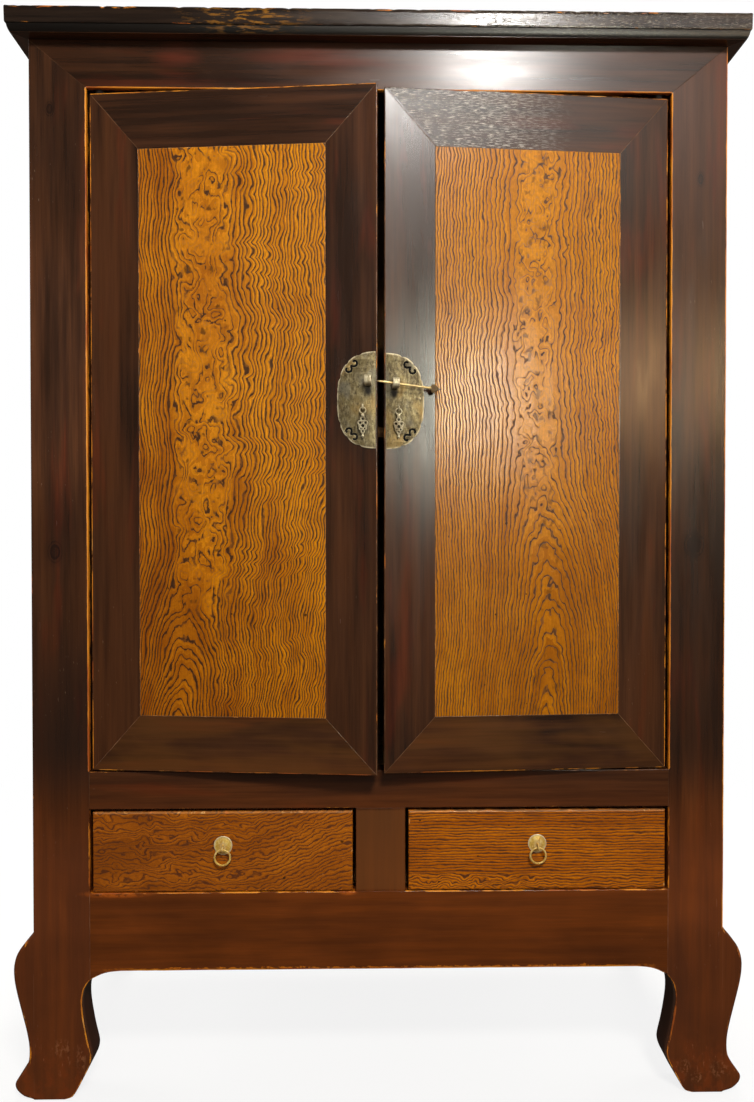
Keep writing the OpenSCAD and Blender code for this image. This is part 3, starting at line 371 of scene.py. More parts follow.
def burl_material(name, which):
    m = Mat(name, Specular_IOR_Level=0.32)
    pn, ps = m.attr("pn"), m.attr("ps")
    wear, pale = m.attr("wear", "Fac"), m.attr("pale", "Fac")
    u, v, _ = m.sep(pn)  # across and along the grain, in millimetres
    seed = {"left": 0.0, "right": 40.0, "dl": 80.0, "dr": 120.0}[which]
    nz = lambda su, sv, sh, d=1.0, r=0.5, di=0.0: m.noise(m.vec(pn, (1.0 / su, 1.0 / sv, 0.0), (seed + sh, sh * 1.7, seed)), d, r, di)
    c0 = lambda n: m.sub(n, 0.5)
    # f counts the growth rings, slope is about how many of them cross a millimetre
    calm, smudge = 1.0, 0.0
    free = m.mul(c0(nz(24.0, 44.0, 79.0, 1.0)), 1.0)
    if which == "left":
        wander = m.mul(c0(nz(5000.0, 170.0, 1.0)), 60.0)
        xc = m.add(74.0, m.rng(v, 110.0, 330.0, 0.0, 31.0), wander)
        d = m.sub(u, xc)
        side = m.rng(d, -0.01, 0.01, 1 / 4.4, m.rng(v, 240.0, 430.0, 1 / 4.6, 1 / 5.4, False), False)
        dn = m.mul(d, side)
        h = m.add(4.0, m.math("DIVIDE", m.math("SMOOTH_MIN", v, 190.0, 90.0), 17.7), m.mul(c0(nz(900.0, 90.0, 6.0)), 3.0))
        f = m.math("SQRT", m.add(m.mul(dn, dn), m.mul(h, h)))
        slope = m.add(m.mul(m.math("DIVIDE", m.math("ABSOLUTE", dn), f), side), 0.045)
        isle = m.mul(m.rng(u, 48.0, 78.0), m.rng(u, 176.0, 136.0), m.rng(v, 110.0, 230.0))
        # the lines to the right bulge like brackets
        cell = m.math("ABSOLUTE", m.math("SINE", m.mul(math.pi, m.add(m.math("DIVIDE", v, 34.0), m.mul(nz(120.0, 120.0, 27.0, 1.0), 2.6)))))
        f = m.sub(f, m.mul(cell, m.rng(u, 110.0, 160.0, 0.1, 0.95), m.rng(nz(60.0, 95.0, 67.0, 1.0), 0.36, 0.62, 0.15, 1.0)))
        f = m.add(f, m.mul(c0(nz(60.0, 34.0, 11.0, 1.0)), m.rng(u, 120.0, 175.0, 0.7, 1.1)), m.mul(c0(nz(33.0, 38.0, 17.0, 0.8, 0.5, 0.35)), m.mul(isle, 6.2)),
                  m.mul(free, m.rng(u, 30.0, 80.0, 0.8, 1.3)), m.mul(c0(nz(16.0, 80.0, 23.0)), 1.5), m.mul(c0(nz(7.0, 12.0, 3.0, 2.0)), m.add(0.55, m.mul(isle, 0.5))))
        # open places between the swirls, with dark smudges
        calm = m.sub(1.0, m.mul(isle, m.rng(nz(36.0, 46.0, 29.0, 1.0), 0.50, 0.58, 0.0, 0.75)))
        smudge = m.mul(isle, m.rng(nz(13.0, 17.0, 33.0, 2.0), 0.60, 0.72), 0.75)
        hi, lo, mid = lin(224, 144, 12), lin(142, 74, 6), lin(190, 113, 8)
        dark = lin(40, 19, 4)
        wide, least, most = 1.9, 0.2, 0.36
        light = m.add(m.rng(v, 60.0, 560.0, 0.24, 0.56), m.rng(u, 60.0, 250.0, -0.05, 0.3), m.mul(isle, 0.12))
    elif which == "right":
        wander = m.mul(c0(nz(5000.0, 200.0, 1.0)), 36.0)
        xc = m.add(170.0, m.rng(v, 560.0, 250.0, 0.0, 24.0), wander)
        d = m.sub(u, xc)
        dn = m.mul(d, 1 / 4.6)
        h = m.add(3.0, m.math("DIVIDE", m.math("SMOOTH_MIN", v, 410.0, 100.0), 27.0), m.mul(c0(nz(900.0, 80.0, 6.0)), 2.0))
        f = m.math("SQRT", m.add(m.mul(dn, dn), m.mul(h, h)))
        slope = m.add(m.mul(m.math("DIVIDE", m.math("ABSOLUTE", dn), f), 1 / 4.6), 0.03)
        near = m.rng(m.math("ABSOLUTE", d), 44.0, 18.0)
        f = m.add(f, m.mul(c0(nz(20.0, 30.0, 11.0, 1.4, 0.5, 0.3)), m.mul(near, m.rng(v, 300.0, 470.0, 1.6, 6.0))),
                  m.mul(c0(nz(34.0, 19.0, 17.0, 1.0)), m.rng(v, 380.0, 560.0, 0.7, 1.3)), m.mul(free, m.rng(v, 380.0, 520.0, 0.3, 0.8)),
                  m.mul(c0(nz(9.0, 13.0, 19.0, 1.0)), m.rng(d, 60.0, 95.0, 0.3, 0.8)),
                  m.mul(c0(nz(14.0, 110.0, 23.0)), 1.0), m.mul(c0(nz(6.0, 12.0, 3.0, 1.0)), 0.35))
        calm = m.sub(1.0, m.mul(near, m.rng(nz(30.0, 44.0, 29.0, 1.0), 0.48, 0.58, 0.0, 0.75), m.rng(v, 330.0, 480.0)))
        smudge = m.mul(near, m.rng(nz(12.0, 20.0, 33.0, 2.0), 0.57, 0.68), m.rng(v, 60.0, 480.0, 0.35, 0.6))
        hi, lo, mid = lin(206, 132, 16), lin(150, 84, 8), lin(184, 111, 11)
        dark = lin(58, 30, 5)
        wide, least, most = 1.6, 0.18, 0.33
        light = m.add(m.rng(v, 60.0, 700.0, 0.36, 0.82), m.rng(u, 0.0, 318.0, 0.12, -0.1), m.mul(near, 0.12))
    elif which == "dl":
        f = m.add(m.math("DIVIDE", u, 6.8), m.mul(m.rng(v, 230.0, 445.0), m.mul(v, -0.022)), m.mul(c0(nz(30.0, 46.0, 11.0, 1.8, 0.5, 0.4)), m.rng(v, 260.0, 330.0, 7.0, 3.0)),
                  m.mul(c0(nz(14.0, 22.0, 17.0, 1.2)), 1.8), m.mul(c0(nz(5.0, 9.0, 3.0, 1.0)), 0.5))
        slope = 0.14
        hi, lo, mid = lin(188, 106, 18), lin(138, 72, 14), lin(166, 89, 16)
        dark = lin(88, 42, 12)
        wide, least, most = 2.0, 0.2, 0.33
        light = m.add(m.rng(v, 0.0, 240.0, 0.22, 0.6), m.mul(c0(nz(70.0, 90.0, 31.0)), 1.2))
    else:
        bot = m.mul(m.rng(u, 34.0, 14.0), m.rng(v, 260.0, 170.0, 0.35, 1.0))
        f = m.add(m.math("DIVIDE", u, 5.0), m.mul(c0(nz(16.0, 90.0, 11.0, 1.4)), 1.5), m.mul(c0(nz(24.0, 26.0, 17.0, 1.5, 0.5, 0.3)), m.mul(bot, 7.0)),
                  m.mul(c0(nz(9.0, 24.0, 19.0, 1.2)), 0.8), m.mul(c0(nz(5.0, 12.0, 3.0, 1.0)), 0.4))
        slope = 0.2
        hi, lo, mid = lin(214, 124, 16), lin(152, 78, 10), lin(188, 102, 12)
        dark = lin(76, 37, 8)
        wide, least, most = 2.0, 0.2, 0.38
        light = m.add(0.5, m.mul(c0(nz(60.0, 120.0, 31.0)), 0.9), m.mul(bot, 0.3), m.rng(v, 300.0, 445.0, 0.0, -0.15))
    # a line of about the same width wherever the rings lie wide or close
    duty = m.math("MINIMUM", m.math("MAXIMUM", m.mul(slope, wide), least), most)
    duty = m.mul(duty, m.rng(nz(11.0, 36.0, 71.0, 1.0), 0.3, 0.7, 0.70, 1.30, False))
    off = m.math("ABSOLUTE", m.sub(m.math("FRACT", f), 0.5))
    line = m.rng(off, m.mul(duty, 0.80), m.mul(duty, 0.22))
    line = m.mul(line, m.rng(nz(7.0, 24.0, 37.0, 2.0), 0.28, 0.56, 0.58, 1.0), calm)
    late = m.mul(m.rng(m.math("FRACT", f), 0.02, 0.5), 0.40)
    fibre = nz(2.2, 60.0, 41.0, 3.0, 0.6)
    big = nz(85.0, 160.0, 43.0, 2.0, 0.55)
    # the tone of each ring differs a little
    band = m.noise(m.com(m.mul(m.math("FLOOR", f), 0.73), 0.5 + seed, 0.0), 0.0)
    tone = m.add(light, m.mul(c0(big), 1.3), m.mul(c0(band), 0.7))
    col = m.mix(m.rng(tone, 0.0, 0.5, smooth=False), lo, mid)
    col = m.mix(m.rng(tone, 0.45, 1.0, smooth=False), col, hi)
    col = m.gain(col, m.mul(m.rng(fibre, 0.28, 0.72, 0.86, 1.12, False), m.rng(nz(4.0, 6.0, 73.0, 2.0), 0.3, 0.7, 0.88, 1.12, False)))
    rim = m.math("MAXIMUM", m.rng(nz(40.0, 60.0, 47.0), 0.62, 0.74), 0.0)
    col = m.mix(m.mul(rim, 0.3), col, lin(122, 66, 16))
    col = m.mix(m.mul(late, calm), col, lo)
    col = m.mix(m.mul(line, 0.92), col, dark)
    if smudge:
        col = m.mix(smudge, col, lin(78, 48, 18))
    # a knot hole here and there in the wild grain
    hole = m.rng(nz(9.0, 11.0, 61.0, 0.0), 0.83, 0.88)
    col = m.mix(m.mul(hole, 0.8), col, lin(40, 24, 10))
    # rubbed joint with the frame
    edge = m.noise(m.vec(pn, (1 / 16.0, 1 / 16.0, 0.0), (9.0, seed, 0.0)), 3.0, 0.65)
    wm = m.rng(m.sub(m.mul(wear, 1.1), m.rng(edge, 0.3, 0.7, 0.0, 1.0, False)), -0.05, 0.2)
    tone2 = m.noise(m.vec(pn, (1 / 70.0, 1 / 70.0, 0.0), (1.0, seed, 4.0)), 2.0)
    col = m.mix(m.mul(wm, 0.85), col, m.mix(m.rng(tone2, 0.4, 0.62), lin(206, 104, 22), lin(230, 172, 96)))
    # pale lines along the joints, and along a drawer's top arris a painted highlight
    col = m.mix(m.mul(pale, 0.6), col, lin(226, 178, 120))
    m.put(m.b.inputs["Base Color"], col)
    m.put(m.b.inputs["Roughness"], m.add(0.17, m.mul(nz(50.0, 90.0, 51.0, 3.0), 0.10), m.mul(line, 0.30), m.mul(wm, 0.15)))
    wave = m.bump(nz(26.0, 60.0, 53.0), 0.0005, 0.45)
    m.put(m.b.inputs["Normal"], m.bump(m.add(m.mul(line, -0.6), m.mul(fibre, 0.35)), 0.00016, 0.8, wave))
    return m.m


def plain_material():
    m = Mat("plain_wood", Specular_IOR_Level=0.35)
    gr, wear, ps = m.attr("gr"), m.attr("wear", "Fac"), m.attr("ps")
    _, b, c = m.sep(gr)
    wob = m.noise(m.vec(gr, (1.3, 6.0, 6.0)), 3.0, 0.55)
    rings = m.math("FRACT", m.add(m.mul(b, 34.0), m.mul(c, 30.0), m.mul(wob, 16.0)))
    line = m.mul(m.rng(rings, 0.45, 0.9), m.rng(rings, 0.99, 0.92))
    fib = m.noise(m.vec(gr, (12.0, 500.0, 500.0)), 3.0, 0.6)
    big = m.noise(m.vec(gr, (2.0, 8.0, 8.0), (4.0, 0, 0)), 3.0, 0.6)
    col = m.mix(m.rng(big, 0.35, 0.65), lin(118, 82, 48), lin(160, 118, 74))
    col = m.mix(m.mul(line, 0.55), col, lin(92, 58, 32))
    col = m.gain(col, m.rng(fib, 0.25, 0.75, 0.8, 1.15, False))
    stain = m.noise(m.vec(ps, (6.0, 6.0, 6.0)), 3.0, 0.6)
    col = m.mix(m.rng(stain, 0.55, 0.75, 0.0, 0.45), col, lin(84, 60, 40))
    col = m.mix(m.rng(wear, 0.2, 1.0, 0.0, 0.4), col, lin(176, 138, 96))
    m.put(m.b.inputs["Base Color"], col)
    m.put(m.b.inputs["Roughness"], m.add(0.6, m.mul(fib, 0.25)))
    m.put(m.b.inputs["Normal"], m.bump(m.add(m.mul(fib, 0.6), m.mul(line, -0.4), m.mul(wob, 0.5)), 0.0004, 0.8))
    return m.m


def brass_material(name, base, deep, shine, metal, rough, dirt, rim=False):
    m = Mat(name)
    ps, wear, dark = m.attr("ps"), m.attr("wear", "Fac"), m.attr("pale", "Fac")
    x, y, z = m.sep(ps)
    brush = m.noise(m.vec(ps, (300.0, 120.0, 110.0)), 4.0, 0.65)
    mott = m.noise(m.vec(ps, (72.0, 72.0, 40.0), (2.0, 0, 0)), 5.0, 0.7, 0.8)
    big = m.noise(m.vec(ps, (26.0, 26.0, 15.0), (7.0, 0, 3.0)), 2.0, 0.5)
    pit = m.noise(m.vec(ps, (380.0, 380.0, 380.0)), 2.0, 0.5)
    blot = m.noise(m.vec(ps, (150.0, 150.0, 110.0), (4.0, 1.0, 0)), 3.0, 0.6)
    col = m.mix(m.rng(mott, 0.38, 0.60), deep, base)
    col = m.mix(m.mul(m.rng(brush, 0.46, 0.66), 0.6), col, shine)
    col = m.mix(m.mul(m.rng(big, 0.50, 0.62), 0.42 * dirt), col, lin(160, 126, 62))
    col = m.mix(m.mul(m.rng(big, 0.46, 0.36), 0.6 * dirt), col, lin(122, 118, 102))
    col = m.mix(m.mul(m.rng(pit, 0.58, 0.68), 0.5 * dirt), col, lin(44, 32, 20))
    col = m.mix(m.mul(m.rng(blot, 0.58, 0.70), 0.45 * dirt), col, lin(52, 38, 24))
    bright = m.mul(wear, m.rng(mott, 0.2, 0.5, 0.45, 1.0))
    if rim:
        # painted shadows below the lugs and behind the pulls
        for gx, gz, rx, rz, k in ((LUG_SHADOW_L[0], LUG_SHADOW_L[1], 0.010, 0.014, 1.0), (LUG_SHADOW_R[0], LUG_SHADOW_R[1], 0.009, 0.013, 1.0), (-PULL_SHADOW_X, 1.157, 0.013, 0.028, 0.85), (PULL_SHADOW_X, 1.155, 0.013, 0.027, 0.85)):
            col = m.mix(m.mul(m.spot(x, z, gx, gz, rx, rz), m.rng(mott, 0.25, 0.5, 0.7, 1.0), k), col, lin(26, 18, 11))
        # a pale band along the plate's edge, partly worn brass and partly painted highlight
        q = m.math("POWER", m.add(m.math("POWER", m.math("DIVIDE", m.math("ABSOLUTE", x), PA / 1000.0), PN),
                                  m.math("POWER", m.math("DIVIDE", m.math("ABSOLUTE", m.sub(z, PLATE_Z / 1000.0)), PZ / 1000.0), PN)), 1.0 / PN)
        bright = m.math("MAXIMUM", bright, m.mul(m.rng(q, 0.955, 0.985), m.rng(blot, 0.36, 0.5, 0.25, 0.85)))
    col = m.mix(bright, col, lin(228, 214, 178))
    # painted shade: this darkens the pin's leaf head, which carries 1.0; the pulls' flat faces carry 0.5 and are
    # darkened less
    col = m.mix(m.mul(dark, 0.9), col, lin(64, 43, 24))
    m.put(m.b.inputs["Base Color"], col)
    m.put(m.b.inputs["Metallic"], m.mul(m.rng(mott, 0.3, 0.7, metal - 0.2, metal, False), m.sub(1.0, m.mul(dark, 0.7))))
    m.put(m.b.inputs["Roughness"], m.add(rough, m.mul(brush, 0.16), m.mul(m.rng(mott, 0.6, 0.35), 0.14), m.mul(dark, 0.2)))
    hammer = m.bump(m.noise(m.vec(ps, (120.0, 120.0, 120.0), (1.0, 2.0, 3.0)), 1.0), 0.0006, 0.6)
    m.put(m.b.inputs["Normal"], m.bump(m.add(m.mul(brush, 0.6), m.mul(pit, -0.5), m.mul(blot, 0.5)), 0.00012, 0.8, hammer))
    return m.m


PA, PZ, PN = MX + 67.2, 81.0, 2.65
# places of the painted shadows below the lugs and behind the pulls
LUG_SHADOW_L, LUG_SHADOW_R, PULL_SHADOW_X = (-(HX - 473.6) / 1000.0, (PLATE_Z + 15.0) / 1000.0), ((HX - 472.4) / 1000.0, (PLATE_Z + 13.0) / 1000.0), (HX - 465.0) / 1000.0
LACQUER = lacquer_material()
BURL = {k: burl_material("burl_" + k, k) for k in ("left", "right", "dl", "dr")}
PLAIN = plain_material()
BRASS = brass_material("brass_aged", lin(130, 116, 78), lin(88, 75, 48), lin(176, 163, 124), 0.55, 0.34, 1.0, True)
BRASS_L = brass_material("brass_lug", lin(222, 210, 172), lin(140, 122, 84), lin(236, 228, 196), 0.45, 0.30, 0.3)
BRASS_B = brass_material("brass_bright", lin(240, 200, 96), lin(200, 152, 62), lin(254, 232, 156), 0.38, 0.26, 0.1)


# ------------------------------------------------------------------ mesh builders
class Shell:
    def __init__(self):
        self.v, self.f, self.wear, self.pale = [], [], [], []

    def add(self, p, wear=0.0, pale=0.0):
        self.v.append(tuple(float(c) for c in p))
        self.wear.append(float(wear))
        self.pale.append(float(pale))
        return len(self.v) - 1

    def volume(self):
        v = np.array(self.v)
        s = 0.0
        for f in self.f:
            a = v[f[0]]
            for i in range(1, len(f) - 1):
                s += float(np.dot(a, np.cross(v[f[i]], v[f[i + 1]])))
        return s

    def outward(self):
        if self.volume() < 0:
            self.f = [tuple(reversed(f)) for f in self.f]
        return self

    def mirrored(self):
        s = Shell()
        s.v = [(-x, y, z) for x, y, z in self.v]
        s.f = [tuple(reversed(f)) for f in self.f]
        s.wear, s.pale = list(self.wear), list(self.pale)
        return s


def n1(x, seed=0.0):
    return noise.noise(Vector((x, seed * 3.17, seed)))


# edges of a board: rounding, wear of the arris, width of wear on the face and on the side, pale line (a joint line, and
# on a drawer's top arris a painted highlight)
E_OPEN = (1.9, 0.95, 0.9, 13.0, 0.0)
E_ARRIS = (1.7, 0.26, 0.8, 3.0, 0.0)
E_OUTR = (1.9, 0.8, 0.9, 9.0, 0.0)
E_DRWO = (1.5, 0.52, 0.6, 13.0, 0.0)
E_APR = (2.2, 0.80, 1.2, 3.0, 0.0)
E_LEG = (4.5, 0.27, 0.6, 3.0, 0.0)
E_LEGIN = (1.7, 0.62, 0.5, 2.0, 0.05)
E_JOINT = (0.35, 0.0, 0.4, 1.0, 0.14)
E_MITRE = (0.35, 0.0, 0.4, 1.0, 0.42)
E_SEAM = (0.4, 0.0, 0.5, 1.0, 0.5)
E_FAINT = (0.3, 0.0, 0.35, 1.0, 0.16)
E_PANEL = (0.4, 0.32, 0.8, 1.0, 0.22)
E_HIDE = (0.5, 0.0, 0.5, 1.0, 0.0)


def cap(s, row, plane, w, grid, back=False):
    """The flat face inside a ring of vertices, in even triangles"""
    pick = {"xz": (0, 2), "xy": (0, 1), "yz": (1, 2)}[plane]
    p = np.array([[s.v[i][pick[0]], s.v[i][pick[1]]] for i in row])
    a, b = p, np.roll(p, -1, 0)
    ab = b - a
    l2 = np.maximum((ab ** 2).sum(1), 1e-9)
    rise = np.where(np.abs(ab[:, 1]) < 1e-9, 1e-9, ab[:, 1])
    lo, hi = p.min(0), p.max(0)
    extra = []
    for v in np.arange(lo[1] + grid / 2, hi[1], grid):
        for u in np.arange(lo[0] + grid / 2, hi[0], grid):
            t = np.clip(((u - a[:, 0]) * ab[:, 0] + (v - a[:, 1]) * ab[:, 1]) / l2, 0, 1)
            far = np.hypot(a[:, 0] + ab[:, 0] * t - u, a[:, 1] + ab[:, 1] * t - v).min()
            inside = ((a[:, 1] > v) != (b[:, 1] > v)) & (u < ab[:, 0] * (v - a[:, 1]) / rise + a[:, 0])
            if far > grid * 0.34 and inside.sum() % 2:
                extra.append((u, v))
    n = len(row)
    vs, _, fs, src, _, _ = delaunay_2d_cdt([Vector(q) for q in p] + [Vector(q) for q in extra], [(i, (i + 1) % n) for i in range(n)], [], 1, 1e-5)
    ids = []
    for q, o in zip(vs, src):
        o = [k for k in o if k < n] or list(o)
        if o and o[0] < n:
            ids.append(row[o[0]])
        else:
            ids.append(s.add({"xz": (q.x, w, q.y), "xy": (q.x, q.y, w), "yz": (w, q.x, q.y)}[plane]))
    for f in fs:
        x = [vs[i] for i in f]
        area = sum(c.x * e.y - e.x * c.y for c, e in zip(x, x[1:] + x[:1]))
        f = [ids[i] for i in f]
        if (area < 0) != back:
            f.reverse()
        s.f.append(tuple(f))


def plank(spec, w0, w1, plane="xz", back=0.8, step=14.0, seed=0.0, arcs=3):
    """A board: spec is its outline, counter-clockwise, as (u, v, edge to the next point). Rounded arrises, with wear."""
    pts = []
    n = len(spec)
    for i in range(n):
        u0, v0, e = spec[i]
        u1, v1, _ = spec[(i + 1) % n]
        up, vp, ep = spec[i - 1]
        d = Vector((u1 - u0, v1 - v0))
        dp = Vector((u0 - up, v0 - vp))
        length = d.length
        d.normalize()
        dp.normalize()
        turned = abs(dp.x * d.y - dp.y * d.x) > 0.2 or ep is not e
        pts.append((u0, v0, ep, e, dp, d))
        if length > 9.0:
            c = 2.5 if turned or length > 30 else length / 3
            k = max(1, int(round((length - 2 * c) / step)))
            for j in range(k + 1):
                t = c + (length - 2 * c) * j / k
                pts.append((u0 + d.x * t, v0 + d.y * t, e, e, d, d))
    thick = w1 - w0
    s = Shell()

    def ring(off, dep, wr, pl):
        out = []
        for i, (u, v, ea, eb, da, db) in enumerate(pts):
            g = 1.0
            if ea is eb and ea[1] > 0.5:
                g = 1.0 + 0.3 * n1(u * 0.045 + v * 0.05, seed) + 0.2 * n1(u * 0.17 + v * 0.19, seed + 5)
            na, nb = Vector((-da.y, da.x)), Vector((-db.y, db.x))
            oa, ob = off(ea, g), off(eb, g)
            det = na.x * nb.y - na.y * nb.x
            if abs(det) > 0.15:
                q = Vector(((oa * nb.y - ob * na.y) / det, (na.x * ob - nb.x * oa) / det))
            else:
                m = na + nb
                q = m * ((oa + ob) / m.length_squared)
            w = w0 + 0.5 * (dep(ea, g) + dep(eb, g))
            a, b = u + q.x, v + q.y
            p = {"xz": (a, w, b), "xy": (a, b, w), "yz": (w, a, b)}[plane]
            out.append(s.add(p, wr * 0.5 * (ea[1] + eb[1]), pl * 0.5 * (ea[4] + eb[4])))
        return out

    rings = [ring(lambda e, g: e[0] * g + e[2], lambda e, g: 0.0, 0.0, 0.0), ring(lambda e, g: e[0] * g, lambda e, g: 0.0, 1.0, 1.0)]
    for k in range(1, arcs):
        a = math.pi / 2 * k / arcs
        rings.append(ring(lambda e, g, a=a: e[0] * g * (1 - math.sin(a)), lambda e, g, a=a: e[0] * g * (1 - math.cos(a)), 1.0, 1.0))
    rings.append(ring(lambda e, g: 0.0, lambda e, g: e[0] * g, 1.0, 1.0))
    rings.append(ring(lambda e, g: 0.0, lambda e, g: min(e[0] * g + e[3], thick - back - 0.4), 0.0, 0.0))
    rings.append(ring(lambda e, g: 0.0, lambda e, g: thick - back, 0.15, 0.0))
    rings.append(ring(lambda e, g: back * 0.3, lambda e, g: thick - back * 0.3, 0.3, 0.0))
    rings.append(ring(lambda e, g: back, lambda e, g: thick, 0.15, 0.0))
    n = len(pts)
    for a, b in zip(rings, rings[1:]):
        for i in range(n):
            j = (i + 1) % n
            s.f.append((a[i], b[i], b[j], a[j]))
    cap(s, rings[0], plane, w0, max(26.0, step))
    cap(s, rings[-1], plane, w1, max(26.0, step), True)
    return s.outward()


def rbox(lo, hi, r=1.2, strip=1.5, wear=0.3):
    """A board with rounded arrises and a little wear along them"""
    lo, hi = np.array(lo, float), np.array(hi, float)
    r = min(r, float((hi - lo).min()) * 0.3)
    strip = min(strip, float((hi - lo).min()) * 0.15)
    s = Shell()
    axes = [[lo[i], lo[i] + r * 0.3, lo[i] + r, lo[i] + r + strip, hi[i] - r - strip, hi[i] - r, hi[i] - r * 0.3, hi[i]] for i in range(3)]
    index = {}

    def vert(i, j, k):
        key = (i, j, k)
        if key not in index:
            p = np.array((axes[0][i], axes[1][j], axes[2][k]))
            c = np.minimum(np.maximum(p, lo + r), hi - r)
            d = p - c
            length = np.linalg.norm(d)
            q = c + d / length * r if length > 0 else p
            near = sum(1 for a in (i, j, k) if a <= 2 or a >= 5)
            index[key] = s.add(q, wear if near >= 2 else 0.0)
        return index[key]

    for ax in range(3):
        for end in (0, 7):
            for i in range(7):
                for j in range(7):
                    q = []
                    for (a, b) in ((i, j), (i + 1, j), (i + 1, j + 1), (i, j + 1)):
                        key = [0, 0, 0]
                        key[ax] = end
                        key[(ax + 1) % 3] = a
                        key[(ax + 2) % 3] = b
                        q.append(vert(*key))
                    s.f.append(tuple(q if end == 7 else reversed(q)))
    return s.outward()


def lathe(profile, origin, axis="y", seg=48, wear=None, start=0.0, wob=0.0):
    """profile: (radius, distance along the axis), from one pole to the other, both at radius 0 or joined as a ring"""
    s = Shell()
    closed = profile[0][0] > 1e-6
    rows = []
    for k, (r, h) in enumerate(profile):
        wr = wear[k] if wear else 0.0
        row = []
        if r < 1e-6:
            row = [s.add(place((0, 0, h), origin, axis), wr)] * seg
        else:
            for i in range(seg):
                a = 2 * math.pi * i / seg + start
                rr = r * (1 + wob * math.sin(5 * a + 1.3 * k) * math.sin(3 * a))
                row.append(s.add(place((rr * math.cos(a), rr * math.sin(a), h), origin, axis), wr))
        rows.append(row)
    pairs = list(zip(rows, rows[1:])) + ([(rows[-1], rows[0])] if closed else [])
    for a, b in pairs:
        for i in range(seg):
            j = (i + 1) % seg
            q = [a[i], a[j], b[j], b[i]]
            q = [x for n, x in enumerate(q) if x != q[n - 1]]
            if len(q) > 2:
                s.f.append(tuple(q))
    return s.outward()


def place(p, origin, axis):
    x, y, z = p
    o = origin
    if axis == "y":
        return (o[0] + x, o[1] + z, o[2] + y)
    if axis == "x":
        return (o[0] + z, o[1] + x, o[2] + y)
    return (o[0] + x, o[1] + y, o[2] + z)


def torus(origin, R, r, axis="y", seg=56, sides=16, wear=0.25, flat=1.0):
    s = Shell()
    for i in range(seg):
        a = 2 * math.pi * i / seg
        for j in range(sides):
            b = 2 * math.pi * j / sides
            q = R + r * math.cos(b)
            s.add(place((q * math.cos(a), q * math.sin(a), r * flat * math.sin(b)), origin, axis), wear * max(0.0, math.cos(b)))
    for i in range(seg):
        for j in range(sides):
            i2, j2 = (i + 1) % seg, (j + 1) % sides
            s.f.append((i * sides + j, i2 * sides + j, i2 * sides + j2, i * sides + j2))
    return s.outward()


def sweep(path, cross, plane_x):
    """closed flat strap: path of (y, z, ny, nz) with outward normals, cross of (out, x, wear)"""
    s = Shell()
    n, m = len(path), len(cross)
    for (y, z, ny, nz) in path:
        for (o, x, w) in cross:
            s.add((plane_x + x, y + ny * o, z + nz * o), w)
    for i in range(n):
        for j in range(m):
            i2, j2 = (i + 1) % n, (j + 1) % m
            s.f.append((i * m + j, i2 * m + j, i2 * m + j2, i * m + j2))
    return s.outward()


def contour(fn, lo, hi, step):
    """outlines of the area where fn(x, z) < 0, as closed loops of points"""
    nx, nz = int(round((hi[0] - lo[0]) / step)) + 1, int(round((hi[1] - lo[1]) / step)) + 1
    xs, zs = lo[0] + np.arange(nx) * step, lo[1] + np.arange(nz) * step
    X, Z = np.meshgrid(xs, zs, indexing="ij")
    F = fn(X, Z)
    F = np.where(np.abs(F) < 1e-6, 1e-6, F)
    point, link = {}, {}

    def cut(a, b):
        key = (a, b) if a < b else (b, a)
        if key not in point:
            fa, fb = F[a], F[b]
            t = fa / (fa - fb)
            point[key] = (xs[a[0]] + (xs[b[0]] - xs[a[0]]) * t, zs[a[1]] + (zs[b[1]] - zs[a[1]]) * t)
        return key

    neg = F < 0
    for i in range(nx - 1):
        for j in range(nz - 1):
            c = [(i, j), (i + 1, j), (i + 1, j + 1), (i, j + 1)]
            g = [bool(neg[p]) for p in c]
            if all(g) or not any(g):
                continue
            cuts = [(k, cut(c[k], c[(k + 1) % 4])) for k in range(4) if g[k] != g[(k + 1) % 4]]
            if len(cuts) == 2:
                pairs = [(cuts[0][1], cuts[1][1])]
            else:
                mid = F[c[0]] + F[c[1]] + F[c[2]] + F[c[3]] < 0
                o = [q[1] for q in cuts]
                pairs = [(o[0], o[1]), (o[2], o[3])] if mid != g[1] else [(o[3], o[0]), (o[1], o[2])]
            for a, b in pairs:
                link.setdefault(a, []).append(b)
                link.setdefault(b, []).append(a)
    loops, seen = [], set()
    for start in list(link):
        if start in seen:
            continue
        loop, prev, cur = [], None, start
        while cur not in seen:
            seen.add(cur)
            loop.append(point[cur])
            nxt = [q for q in link[cur] if q != prev and q not in seen]
            if not nxt:
                break
            prev, cur = cur, nxt[0]
        if len(loop) > 6:
            loops.append(loop)
    return loops


def smooth_loop(loop, n):
    p = np.array(loop)
    for _ in range(n):
        p = 0.5 * p + 0.25 * (np.roll(p, 1, 0) + np.roll(p, -1, 0))
    return p


